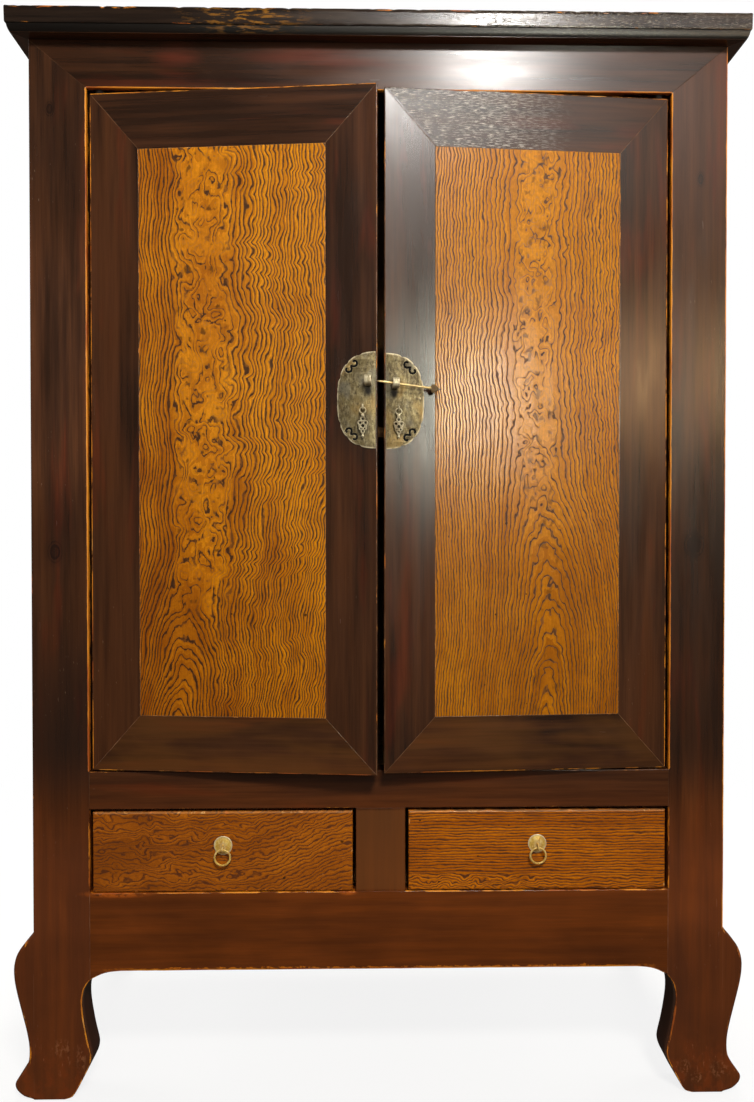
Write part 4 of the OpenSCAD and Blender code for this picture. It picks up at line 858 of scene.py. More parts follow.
def pierced(loops, y0, y1, bevel, pale=0.0):
    """A flat sheet cut to closed loops, holes included, from y0 to y1 with rounded edges"""
    cu = bpy.data.curves.new("outline", "CURVE")
    cu.dimensions = "2D"
    cu.fill_mode = "BOTH"
    cu.extrude = (y1 - y0) / 2 - bevel
    cu.bevel_depth = bevel
    cu.bevel_resolution = 1
    cu.offset = -bevel
    for loop in loops:
        sp = cu.splines.new("POLY")
        sp.points.add(len(loop) - 1)
        for i, (x, z) in enumerate(loop):
            sp.points[i].co = (x, z, 0, 1)
        sp.use_cyclic_u = True
    ob = bpy.data.objects.new("outline", cu)
    bpy.context.scene.collection.objects.link(ob)
    bpy.context.view_layer.update()
    me = bpy.data.meshes.new_from_object(ob.evaluated_get(bpy.context.evaluated_depsgraph_get()))
    bpy.data.objects.remove(ob)
    bpy.data.curves.remove(cu)
    bm = bmesh.new()
    bm.from_mesh(me)
    bmesh.ops.remove_doubles(bm, verts=bm.verts, dist=0.0005)
    s = Shell()
    mid = (y0 + y1) / 2
    half = (y1 - y0) / 2
    for v in bm.verts:
        side = -half + 0.01 < -v.co.z < half - 0.01
        s.add((v.co.x, mid - v.co.z, v.co.y), 0.75 if side else 0.0, 0.0 if side else pale)
    for f in bm.faces:
        s.f.append(tuple(v.index for v in f.verts))
    bm.free()
    bpy.data.meshes.remove(me)
    return s.outward()


def make(name, shells, mat, body, nodes=(), grain="z", matrix=None, pn=None, angle=32.0, seed=None):
    """One piece from its shells, with the attributes that the materials read"""
    if isinstance(shells, Shell):
        shells = [shells]
    verts, faces, wear, pale, board = [], [], [], [], []
    for k, s in enumerate(shells):
        base = len(verts)
        verts += s.v
        faces += [tuple(i + base for i in f) for f in s.f]
        wear += s.wear
        pale += s.pale
        board += [k] * len(s.v)
    v = np.array(verts)
    co = v / 1000.0
    me = bpy.data.meshes.new(name)
    placed = co.copy()
    placed[:, 1] += SY
    me.from_pydata([tuple(p) for p in placed], [], faces)
    me.update()
    me.polygons.foreach_set("use_smooth", [True] * len(me.polygons))
    me.set_sharp_from_angle(angle=math.radians(angle))
    seed = sum((i + 1) * ord(c) for i, c in enumerate(name)) % 97 if seed is None else seed
    order = {"x": (0, 2, 1), "z": (2, 0, 1), "y": (1, 0, 2)}[grain]
    off = np.array([[(seed * 1.37 + b * 2.11) % 9.0, (seed * 0.71 + b * 1.3) % 5.0, (seed * 0.39) % 3.0] for b in board])
    gr = co[:, order] + off
    for key, kind, data in (("gr", "FLOAT_VECTOR", gr), ("ps", "FLOAT_VECTOR", co), ("wear", "FLOAT", np.array(wear)), ("pale", "FLOAT", np.array(pale))):
        a = me.attributes.new(key, kind, "POINT")
        a.data.foreach_set("vector" if kind == "FLOAT_VECTOR" else "value", data.astype(np.float32).ravel())
    if pn is not None:
        a = me.attributes.new("pn", "FLOAT_VECTOR", "POINT")
        a.data.foreach_set("vector", pn(v).astype(np.float32).ravel())
    me.materials.append(mat)
    ob = bpy.data.objects.new(name, me)
    bpy.context.scene.collection.objects.link(ob)
    if matrix is not None:
        ob.matrix_world = matrix
    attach(ob, body)
    if nodes:
        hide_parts(*nodes)
    return ob


def cr(a, b, c, d, t):
    return 0.5 * (2 * b + (c - a) * t + (2 * a - 5 * b + 4 * c - d) * t * t + (3 * b - a - 3 * c + d) * t ** 3)


def spline(p, n):
    out = []
    for i in range(len(p) - 1):
        q = [p[max(i - 1, 0)], p[i], p[i + 1], p[min(i + 2, len(p) - 1)]]
        for j in range(n):
            t = j / n
            out.append((cr(q[0][0], q[1][0], q[2][0], q[3][0], t), cr(q[0][1], q[1][1], q[2][1], q[3][1], t)))
    out.append(p[-1])
    return out


LEG_OUT = spline([(0, 290), (4, 284), (14, 272), (28, 252), (34, 232), (34, 210), (30, 186), (22, 153), (13, 116), (9, 90),
                  (10, 67), (16, 53), (27, 37), (33, 27), (30, 16), (18, 5), (2, 0)], 3)
LEG_IN = spline([(-54, 0), (-65, 4), (-74, 17), (-84, 36), (-94, 56), (-97, 69), (-96, 80), (-91, 101), (-87, 122), (-83, 148),
                 (-82, 170), (-85, 188), (-91, 199), (-96.5, 206)], 3)
APRON_END = spline([(XI - 52, Z_APR), (XI - 34, Z_APR - 1.5), (XI - 20, Z_APR - 5), (XI - 9, Z_APR - 10), (XI - 3, Z_APR - 13), (XI, Z_APR - 15)], 3)

# ------------------------------------------------------------------ carcass, front
for side, name in ((-1, "left"), (1, "right")):
    spec = [(CW + x, z, E_LEG) for x, z in reversed(LEG_OUT[1:])]
    spec += [(CW, 290.0, E_ARRIS if side < 0 else E_OUTR), (CW, Z_CAR, E_JOINT), (XI, Z_UP, E_OPEN), (XI, Z_DOOR, E_FAINT), (XI, Z_MID, E_DRWO), (XI, Z_DRW, E_SEAM)]
    spec += [(CW + x, z, E_LEGIN) for x, z in reversed(LEG_IN)]
    spec[-1] = (spec[-1][0], spec[-1][1], E_HIDE)
    s = plank(spec, 0, POST_T, seed=3 + side, back=2.5)
    top = plank([(XI, Z_UP + 0.5, E_HIDE), (CW - 0.5, Z_CAR, E_HIDE), (XI, Z_CAR, E_HIDE)], RAIL_T, POST_T)
    shells = [s, top]
    if side < 0:
        shells = [q.mirrored() for q in shells]
    make(f"front_post_{name}", shells, LACQUER, "carcass", [f"front_{name}_post"])
    # square back post
    lo, hi = (BPX, BPY, 0), (CW, DEPTH, Z_CAR)
    s = rbox(lo, hi, 2.0, 2.0, 0.24)
    make(f"back_post_{name}", s if side > 0 else s.mirrored(), LACQUER, "carcass", [f"back_{name}_post"])
    # side frame
    rails = [rbox((SX0, POST_T, a), (SX1, BPY, b), 1.6, 2.0, 0.27) for a, b in RAIL_Z]
    make(f"side_rails_{name}", rails if side > 0 else [q.mirrored() for q in rails], LACQUER, "carcass", [f"{name}_side_rails"], grain="y")
    boards = []
    for a, b in PANEL_Z:
        # the side is made of three upright boards with fine joints
        cuts = [POST_T - 7.5, POST_T + (BPY - POST_T) * 0.36, POST_T + (BPY - POST_T) * 0.69, BPY + 7.5]
        for y0, y1 in zip(cuts, cuts[1:]):
            boards.append(rbox((PX0, y0 + 0.01, a + 0.5), (PX1, y1 - 0.01, b - 0.5), 0.6, 0.8, 0.35))
    make(f"side_panels_{name}", boards if side > 0 else [q.mirrored() for q in boards], LACQUER, "carcass", [f"{name}_side_panels"])

make("upper_rail_front", plank([(-XI, Z_UP, E_OPEN), (XI, Z_UP, E_JOINT), (CW, Z_CAR, E_HIDE), (-CW, Z_CAR, E_JOINT)], 0, RAIL_T, seed=7),
     LACQUER, "carcass", ["upper_rail"], grain="x")
make("middle_rail_front", plank([(-XI, Z_MID, E_ARRIS), (-DIV, Z_MID, E_FAINT), (DIV, Z_MID, E_ARRIS), (XI, Z_MID, E_FAINT), (XI, Z_DOOR, E_ARRIS), (-XI, Z_DOOR, E_FAINT)], 0, RAIL_T, seed=8),
     LACQUER, "carcass", ["middle_rail"], grain="x")
make("drawer_divider_front", plank([(-DIV, Z_DRW, E_FAINT), (DIV, Z_DRW, E_ARRIS), (DIV, Z_MID, E_FAINT), (-DIV, Z_MID, E_ARRIS)], 0, RAIL_T, seed=9),
     LACQUER, "carcass", ["drawer_divider"])
spec = [(-XI, Z_DRW, E_JOINT)] + [(-x, z, E_LEGIN) for x, z in reversed(APRON_END)] + [(x, z, E_LEGIN) for x, z in APRON_END[:-1]]
spec = [(x, z, E_APR if (x, z) == (-APRON_END[0][0], APRON_END[0][1]) else e) for x, z, e in spec]
spec += [(APRON_END[-1][0], APRON_END[-1][1], E_JOINT), (XI, Z_DRW, E_DRWO), (DIV, Z_DRW, E_FAINT), (-DIV, Z_DRW, E_DRWO)]
make("apron_front", plank(spec, 0, RAIL_T, seed=10), LACQUER, "carcass", ["apron"], grain="x")

# ------------------------------------------------------------------ top, moulded and mitred
EDGE = [(TOP_F, 0, 0), (7.6, 0, 0), (7, 0.2, 0.5)] + [(a, b, 0.1) for a, b in spline([(7, 0.4), (5.4, 3), (4.0, 6.5), (3.1, 10), (2.6, 13)], 3)]
EDGE += [(2.4, 13.3, 0.2), (1.2, 13.5, 0.8), (0.6, 14.2, 0.9), (0.40, 16.5, 0.1), (0.39, 17.0, 0.0), (0.20, 26, 0.0), (0.016, 34.8, 0.0), (0, 35.6, 0.1), (0, 38.8, 0.9), (0.3, 40.1, 1.0), (0.9, 41.1, 1.0), (1.9, 41.8, 1.0), (3, 42, 0.9), (5.5, 42, 0.0), (TOP_F, 42, 0)]
PLAIN_EDGE = [(TOP_F, 0, 0), (0.8, 0, 0.4), (0, 0.8, 0.4), (0, 3, 0), (0, 38, 0.0), (0, 40, 0.6), (0.6, 41.4, 0.6), (2, 42, 0.6), (5, 42, 0), (TOP_F, 42, 0)]


def moulding(length, prof, seed, put, wear=1.0):
    s = Shell()
    n = int(length / 7)
    m = len(prof)
    for k in range(n + 1):
        t = -1 + 2 * k / n
        for i, (d, h, w) in enumerate(prof):
            c = 0.0
            if 0 < k < n and h > 36 and d < 6:
                c = 0.45 + 0.5 * n1(t * length * 0.02, seed) + max(0.0, n1(t * length * 0.06, seed + 4) - 0.22) * 5.0
                c = max(0.0, c)
            if 0 < k < n and 13.0 < h < 15 and d < 3:
                c = max(0.0, 0.2 + 0.6 * n1(t * length * 0.05, seed + 9))
            x = t * (length / 2 - d)
            bare = 0.30 + 0.9 * max(0.0, n1(t * length * 0.004, seed + 2)) if 0 < k < n else 0.3
            s.add(put(x, d + c * (1.0 if h < 40.5 else 0.4), h - (c * 0.6 if h > 38 else 0.0)), w * wear * bare)
    for k in range(n):
        for i in range(m):
            j = (i + 1) % m
            s.f.append((k * m + i, k * m + j, (k + 1) * m + j, (k + 1) * m + i))
    s.f.append(tuple(range(m)))
    s.f.append(tuple(n * m + i for i in reversed(range(m))))
    return s.outward()


Y0, Y1 = -OVER, DEPTH + BACK_OVER
LY, YC = Y1 - Y0, (Y0 + Y1) / 2
make("top_edge_front", moulding(TOP_W, EDGE, 1.0, lambda x, d, h: (x, Y0 + d, Z_CAR + h)), LACQUER, "carcass", ["top_front"], grain="x")
make("top_edge_back", moulding(TOP_W, PLAIN_EDGE, 2.0, lambda x, d, h: (x, Y1 - d, Z_CAR + h), 0.6), LACQUER, "carcass", ["top_back"], grain="x")
make("top_edge_left", moulding(LY, EDGE, 3.0, lambda x, d, h: (-TOP_W / 2 + d, YC + x, Z_CAR + h)), LACQUER, "carcass", ["top_left"], grain="y")
make("top_edge_right", moulding(LY, EDGE, 4.0, lambda x, d, h: (TOP_W / 2 - d, YC + x, Z_CAR + h)), LACQUER, "carcass", ["top_right"], grain="y")
fx, fy0, fy1 = TOP_W / 2 - TOP_F, Y0 + TOP_F, Y1 - TOP_F
boards = []
cuts = [fy0, fy0 + (fy1 - fy0) * 0.31, fy0 + (fy1 - fy0) * 0.66, fy1]
for a, b in zip(cuts, cuts[1:]):
    boards.append(rbox((-fx + 0.02, a + 0.01, Z_CAR + 18), (fx - 0.02, b - 0.01, Z_TOP), 0.6, 1.0, 0.4))
make("top_boards", boards, LACQUER, "carcass", ["top_panel"], grain="x")
make("top_battens_under", [rbox((x - 20, fy0, Z_CAR + 2), (x + 20, fy1, Z_CAR + 18), 1.5) for x in (-TOP_W / 6, TOP_W / 6)], PLAIN, "carcass", ["top_battens"], grain="y")

# ------------------------------------------------------------------ carcass, back and inside
make("back_rails_frame", [rbox((-BPX, BY0 - 20 if i == 0 else BY0, a), (BPX, BY1, b), 1.6, 2.0, 0.5) for i, (a, b) in enumerate(RAIL_Z)],
     LACQUER, "carcass", ["back_rails"], grain="x")
boards = []
for a, b in PANEL_Z:
    w = [(-BPX - 7.5) + (2 * BPX + 15) * k / 6 for k in range(7)]
    for x0, x1 in zip(w, w[1:]):
        boards.append(rbox((x0 + 0.01, QY0, a + 0.5), (x1 - 0.01, QY1, b - 0.5), 0.8, 1.0, 0.3))
make("back_boards", boards, PLAIN, "carcass", ["back_panels"])
H = E_HIDE
fl = [(-XI, RAIL_T, H), (XI, RAIL_T, H), (XI, POST_T, H), (SX0 - 1, POST_T, H), (SX0 - 1, BPY, H), (BPX, BPY, H), (BPX, BY0, H),
      (-BPX, BY0, H), (-BPX, BPY, H), (-SX0 + 1, BPY, H), (-SX0 + 1, POST_T, H), (-XI, POST_T, H)]
make("cupboard_floor_boards", plank(fl, Z_DOOR - 18, Z_DOOR, "xy", step=80), PLAIN, "carcass", ["cupboard_floor"], grain="x")
E_SHELF = (1.6, 0.5, 1.0, 2.0, 0.0)
sh = [(-XI + 40, 28, E_SHELF), (XI - 40, 28, H), (XI - 40, POST_T + 2, H), (PX0 - 2, POST_T + 2, H), (PX0 - 2, BPY - 2, H), (BPX - 2, BPY - 2, H), (BPX - 2, QY0 - 2, H),
      (-BPX + 2, QY0 - 2, H), (-BPX + 2, BPY - 2, H), (-PX0 + 2, BPY - 2, H), (-PX0 + 2, POST_T + 2, H), (-XI + 40, POST_T + 2, H)]
make("shelf_board", plank(sh, 1140, 1158, "xy", step=80), PLAIN, "carcass", ["shelf"], grain="x")
make("floor_bearer_bars", [rbox((-20, RAIL_T, Z_MID + 14), (20, BY0, Z_DOOR - 18))] + [rbox((a, POST_T, Z_MID + 14), (b, BPY, Z_DOOR - 18)) for a, b in ((SX0 - 30, SX0), (-SX0, -SX0 + 30))],
     PLAIN, "carcass", ["floor_bearers"], grain="y")
make("shelf_bearer_bars", [rbox((a, POST_T, 1110), (b, BPY, 1140)) for a, b in ((PX0 - 28, PX0), (-PX0, -PX0 + 28))], PLAIN, "carcass", ["shelf_bearers"], grain="y")
make("drawer_runner_bars", [rbox((a, POST_T if abs(a) > 300 else RAIL_T, RB1), (b, BY0, RUN_Z)) for a, b in ((455, 515), (-515, -455), (-80, 80))],
     PLAIN, "carcass", ["drawer_runners"], grain="y")
guides = [rbox((-DX0 + 1.5, RAIL_T, RUN_Z), (DX0 - 1.5, BY0 - 10, RUN_Z + 22))]
for sg in (-1, 1):
    g = [rbox((DX1 + 1.5, POST_T, RUN_Z), (515, BY0 - 10, RUN_Z + 22)), rbox((460, DRAWER_L + 1, RUN_Z), (480, DRAWER_L + 21, RUN_Z + 18)), rbox((56, DRAWER_L + 1, RUN_Z), (76, DRAWER_L + 21, RUN_Z + 18))]
    guides += g if sg > 0 else [q.mirrored() for q in g]
make("drawer_guide_bars", guides, PLAIN, "carcass", ["drawer_guides"], grain="y")

# ------------------------------------------------------------------ doors
E_DOOR = (1.8, 0.50, 0.7, 4.0, 0.1)
E_MEET = (1.4, 0.34, 0.6, 6.0, 0.25)
for side, name, mat4, body in ((-1, "left", M_LEFT, "door_left"), (1, "right", M_RIGHT, "door_right")):
    fl = (lambda q: q) if side > 0 else (lambda q: q.mirrored())
    hs = plank([(IX1, IZ0, E_MITRE), (HX, ZD0, E_DOOR), (HX, ZD1, E_MITRE), (IX1, IZ1, E_PANEL)], 0, DOOR_T, seed=20 + side, back=1.5)
    piv = lambda z0, z1: lathe([(0, z0), (6.4, z0), (7, z0 + 0.8), (7, (z0 + z1) / 2), (7, z1 - 0.8), (6.4, z1), (0, z1)], (AX, AY, 0), "z", 40)
    make(f"door_{name}_hinge_stile", [fl(hs), fl(piv(ZD1 - 3, ZD1 + 27)), fl(piv(ZD0 - 8.5, ZD0 + 3))], LACQUER, body, [f"{name}_door_hinge_stile"], matrix=mat4)
    ms = plank([(MX, ZD0, E_MITRE), (IX0, IZ0, E_PANEL), (IX0, IZ1, E_MITRE), (MX, ZD1, E_MEET)], 0, DOOR_T, seed=24 + side, back=1.5)
    make(f"door_{name}_meeting_stile", fl(ms), LACQUER, body, [f"{name}_door_meeting_stile"], matrix=mat4)
    tr = plank([(IX0, IZ1, E_PANEL), (IX1, IZ1, E_MITRE), (HX, ZD1, E_DOOR), (MX, ZD1, E_MITRE)], 0, DOOR_T, seed=28 + side, back=1.5)
    make(f"door_{name}_top_rail", fl(tr), LACQUER, body, [f"{name}_door_top_rail"], grain="x", matrix=mat4)
    br = plank([(MX, ZD0, E_DOOR), (HX, ZD0, E_MITRE), (IX1, IZ0, E_PANEL), (IX0, IZ0, E_MITRE)], 0, DOOR_T, seed=32 + side, back=1.5)
    make(f"door_{name}_bottom_rail", fl(br), LACQUER, body, [f"{name}_door_bottom_rail"], grain="x", matrix=mat4)
    pa = plank([(IX0, IZ0, E_PANEL), (IX1, IZ0, E_PANEL), (IX1, IZ1, E_PANEL), (IX0, IZ1, E_PANEL)], 0, 12.0, seed=36 + side)
    x_left = -IX1 if side < 0 else IX0
    make(f"door_{name}_panel", fl(pa), BURL[name], body, [f"{name}_door_panel"], matrix=mat4,
         pn=lambda v, x0=x_left: np.stack([v[:, 0] - x0, v[:, 2] - IZ0, v[:, 1]], 1))
    bat = [rbox((IX0 + 0.2, 12.1, IZ0 + (IZ1 - IZ0) * k - 20), (IX1 - 0.2, DOOR_T, IZ0 + (IZ1 - IZ0) * k + 20), 1.6) for k in (0.14, 0.5, 0.86)]
    make(f"door_{name}_battens", [fl(q) for q in bat], PLAIN, body, [f"{name}_door_battens"], grain="x", matrix=mat4)

# ------------------------------------------------------------------ lock plates, pierced and scalloped
def capsule(X, Z, ax, az, bx, bz, r):
    dx, dz = bx - ax, bz - az
    t = np.clip(((X - ax) * dx + (Z - az) * dz) / (dx * dx + dz * dz), 0, 1)
    return np.hypot(X - ax - dx * t, Z - az - dz * t) - r


HOOK = [(-10.6, 3.6), (-11.6, 0.6), (-10.0, -2.8), (-6.4, -4.4), (-3.0, -2.6), (-1.2, 0.4), (0.0, 1.8), (1.2, 0.4), (3.0, -2.6), (6.4, -4.4), (10.0, -2.8), (11.6, 0.6), (10.6, 3.6), (8.2, 4.4)]
HOOK = [(-8.2, 4.4)] + HOOK


def plate_field(X, Z):
    th = np.degrees(np.arctan2(np.abs(Z) / PZ, np.maximum(X, 1e-3) / PA))
    g = (np.power(np.abs(X) / PA, PN) + np.power(np.abs(Z) / PZ, PN)) ** (1 / PN)
    notch = np.exp(-((th - 27) / 2.6) ** 2) + np.exp(-((th - 63) / 2.6) ** 2) + 0.8 * np.exp(-((th - 45) / 2.6) ** 2)
    f = (g - 0.994 + 0.024 * notch) * 72.0
    f = np.maximum(f, (MX + 2.7) - X)
    for sz in (-1, 1):
        cx, cz, ta = 45.5, sz * 55.5, math.radians(-46.0 * sz)
        for (a, b), (c, d) in zip(HOOK, HOOK[1:]):
            # local (t, n): t along the edge, n outwards
            tx, tz = math.cos(ta), math.sin(ta)
            nx, nz = -tz * sz, tx * sz
            hole = capsule(X, Z, cx + tx * a + nx * b, cz + tz * a + nz * b, cx + tx * c + nx * d, cz + tz * c + nz * d, 1.8)
            f = np.maximum(f, -hole)
    return f


loops = [smooth_loop(q, 2) for q in contour(plate_field, (-1.0, -84.0), (74.0, 84.0), 0.6)]
for q in loops:
    q[:, 0] = np.maximum(q[:, 0], MX + 2.7)
plate = pierced([[(x, z + PLATE_Z) for x, z in q] for q in loops], -1.5, -0.02, 0.35)
EYES = {"left": (474.8, PLATE_Z + 30.9), "right": (471.0, PLATE_Z + 28.4)}


def eye_shells(eye):
    cx, cz = HX - eye[0], eye[1]
    cy = -13.9
    hy, hz, r = 10.0 + 1.2, 5.75 + 1.2, 4.8
    path = []
    n = 9
    for k, (sy, sz) in enumerate(((1, 1), (-1, 1), (-1, -1), (1, -1))):
        a0 = math.pi / 2 * k
        for i in range(n):
            a = a0 + math.pi / 2 * i / (n - 1)
            path.append((cy + sy * (hy - r) + r * math.cos(a), cz + sz * (hz - r) + r * math.sin(a), math.cos(a), math.sin(a)))
    w, t = 5.5, 1.2
    cross = [(t, -w + 0.7, 0.9), (t, -2.4, 0.1), (t * 0.94, 0, 0.0), (t, 2.4, 0.1), (t, w - 0.7, 0.9), (t - 0.25, w - 0.2, 1.0), (t - 0.8, w, 0.6), (-t + 0.5, w, 0.2), (-t, w - 0.5, 0.2),
             (-t, -w + 0.5, 0.2), (-t + 0.5, -w, 0.2), (t - 0.8, -w, 0.6), (t - 0.25, -w + 0.2, 1.0)]
    out = [sweep(path, cross, cx)]
    out.append(rbox((cx - 5.3, -2.6, cz - 2.3), (cx + 5.3, DOOR_T + 1.6, cz + 2.3), 0.5, 0.5, 0.5))
    out.append(rbox((cx - 5.3, DOOR_T + 0.05, cz - 22), (cx + 5.3, DOOR_T + 2.0, cz + 22), 0.5, 0.5, 0.5))
    return out


PULL_X, PULL_ZZ = HX - 465.0, PLATE_Z - 12.0


def staple_shells():
    return [torus((PULL_X, -6.5, PULL_ZZ), 3.8, 1.4, "x", 40, 14),
            lathe([(0, -3.2), (1.6, -3.2), (2.0, -2.6), (2.0, DOOR_T), (1.6, DOOR_T + 0.8), (0, DOOR_T + 0.8)], (PULL_X, 0, PULL_ZZ), "y", 28),
            rbox((PULL_X - 2, DOOR_T + 0.05, PULL_ZZ - 12), (PULL_X + 2, DOOR_T + 1.8, PULL_ZZ + 12), 0.5, 0.5, 0.4)]


def pull_field(X, Z):
    disc = lambda x, z, r: np.hypot(X - x, Z - z) - r
    f = disc(0, -18.6, 4.4)
    for q in (disc(-4.6, -25.6, 4.3), disc(4.6, -25.6, 4.3), disc(0, -29.4, 5.0), disc(-3.4, -34.6, 3.3), disc(3.4, -34.6, 3.3), disc(0, -39.4, 3.7),
              capsule(X, Z, 0, -14.2, 0, -48.5, 1.5), capsule(X, Z, -6.2, -30.4, -4.0, -33.6, 1.3), capsule(X, Z, 6.2, -30.4, 4.0, -33.6, 1.3)):
        f = np.minimum(f, q)
    for q in (disc(0, -18.8, 2.3), disc(-4.6, -25.4, 2.3), disc(4.6, -25.4, 2.3), disc(0, -30.4, 2.7), disc(-3.2, -35.0, 1.4), disc(3.2, -35.0, 1.4), disc(0, -39.2, 1.8)):
        f = np.maximum(f, -q)
    return f


pull_loops = [smooth_loop(q, 1) for q in contour(pull_field, (-11.0, -52.0), (11.0, -10.0), 0.35)]
for side, name, mat4, body in ((-1, "left", M_LEFT, "door_left"), (1, "right", M_RIGHT, "door_right")):
    fl = (lambda q: q) if side > 0 else (lambda q: q.mirrored())
    nail = []
    if side > 0:
        nail = [lathe([(0, -2.5), (1.4, -2.35), (2.2, -1.9), (2.4, -1.5), (0, -1.45)], (MX + 60.0, 0, PLATE_Z + 4.5), "y", 20, [0.6, 0.4, 0.2, 0, 0])]
    make(f"lock_plate_{name}", [fl(plate)] + [fl(q) for q in nail], BRASS, body, [f"{name}_lock_plate"], matrix=mat4, angle=40)
    make(f"lock_staples_{name}", [fl(q) for q in eye_shells(EYES[name]) + staple_shells()], BRASS_L, body, [f"{name}_lock_staples"], matrix=mat4, angle=40)
    ox, oy, oz = PULL_X, -6.5, PULL_ZZ - 0.9
    cloud = pierced([[(x + ox, z + oz) for x, z in q] for q in pull_loops], oy - 1.1, oy + 1.1, 0.45, 0.5)
    bead = lathe([(3.0 * math.sin(math.pi * k / 12), -13 - 3.0 * math.cos(math.pi * k / 12)) for k in range(13)], (ox, oy, oz), "z", 28, [0.7] * 13)
    drop = lathe([(q, -47.2 - h) for q, h in ((0, -3.0), (1.4, -2.4), (2.2, -1.0), (2.3, 0.2), (1.9, 1.4), (1.0, 2.2), (0, 2.5))][::-1], (ox, oy, oz), "z", 24)
    ring = torus((ox, oy, oz - 5.0), 5.0, 1.2, "y", 44, 14)
    make(f"pull_drop_{name}", [fl(q) for q in (ring, bead, cloud, drop)], BRASS_L, f"pull_{name}", [f"{name}_pull"], matrix=mat4, angle=40)

# ------------------------------------------------------------------ lock pin with a leaf head
pin_x, pin_z, PIN_OUT, PIN_L = HX - EYES["right"][0], EYES["right"][1] - 1.35, 50.0, 88.0
shaft = [(0, 0), (0.55, 0.05), (0.8, 0.5), (1.5, 5.0), (2.05, 9.5), (2.1, 12)] + [(2.1 * (1 - 0.03 * (k % 2)), 12 + 9.4 * k) for k in range(1, 8)] + [(2.1, PIN_L - 4), (2.1, PIN_L - 0.5), (3.0, PIN_L), (3.2, PIN_L + 0.5), (3.2, PIN_L + 1.8), (2.7, PIN_L + 2.4), (1.6, PIN_L + 3.2), (0, PIN_L + 3.2)]
pin = [lathe(shaft, (0, 0, 0), "x", 28, [0.4] * len(shaft))]
LEAF = spline([(0, 2.2), (1.6, 5.6), (4.6, 7.4), (8.0, 6.8), (10.8, 4.4), (13.8, 1.9), (19, 0)], 4)
leaf = Shell()
NL = 6
rows = []
# every vertex of the leaf carries pale 1.0, which the brass paints dark as shade
for sgn in (-1, 1):
    layer = []
    for k in range(NL + 1):
        q = k / NL
        row = []
        for i, (x, z) in enumerate(LEAF):
            # cushioned leaf with a midrib
            thick = 1.5 * (1 - (q ** 3)) + 0.25
            rib = -0.45 * math.exp(-((q * 3.2) ** 2))
            row.append(leaf.add((x + PIN_L + 2, sgn * min(1.5, (thick + rib)), z * q), 0.5 if q > 0.9 else 0.0, 1.0))
        layer.append(row)
    for k in range(1, NL + 1):
        row = []
        q = k / NL
        for i, (x, z) in enumerate(LEAF):
            thick = 1.5 * (1 - (q ** 3)) + 0.25
            rib = -0.45 * math.exp(-((q * 3.2) ** 2))
            row.append(leaf.add((x + PIN_L + 2, sgn * min(1.5, (thick + rib)), -z * q), 0.5 if q > 0.9 else 0.0, 1.0))
        layer.insert(0, row)
    rows.append(layer)
for layer in rows:
    for a, b in zip(layer, layer[1:]):
        for i in range(len(a) - 1):
            leaf.f.append((a[i], a[i + 1], b[i + 1], b[i]) if layer is rows[0] else (b[i], b[i + 1], a[i + 1], a[i]))
for k, (a, b) in enumerate(((rows[0][0], rows[1][0]), (rows[1][-1], rows[0][-1]))):
    for i in range(len(a) - 1):
        leaf.f.append((a[i], b[i], b[i + 1], a[i + 1]))
cap0, cap1 = [r[0] for r in rows[0]], [r[0] for r in rows[1]]
for i in range(len(cap0) - 1):
    leaf.f.append((cap0[i], cap0[i + 1], cap1[i + 1], cap1[i]))
pin.append(leaf)
m_pin = M_RIGHT @ Matrix.Translation(W(pin_x, -13.9 - 3.5, pin_z)) @ Matrix.Rotation(math.radians(2.5), 4, "Z") @ Matrix.Rotation(math.radians(6.5), 4, "Y") @ Matrix.Translation(Vector(((PIN_OUT - PIN_L + 6.5) / 1000.0, -SY, 0)))
make("lock_pin_leaf", pin, BRASS_B, "lock_pin", ["lock_pin"], matrix=m_pin, angle=50)

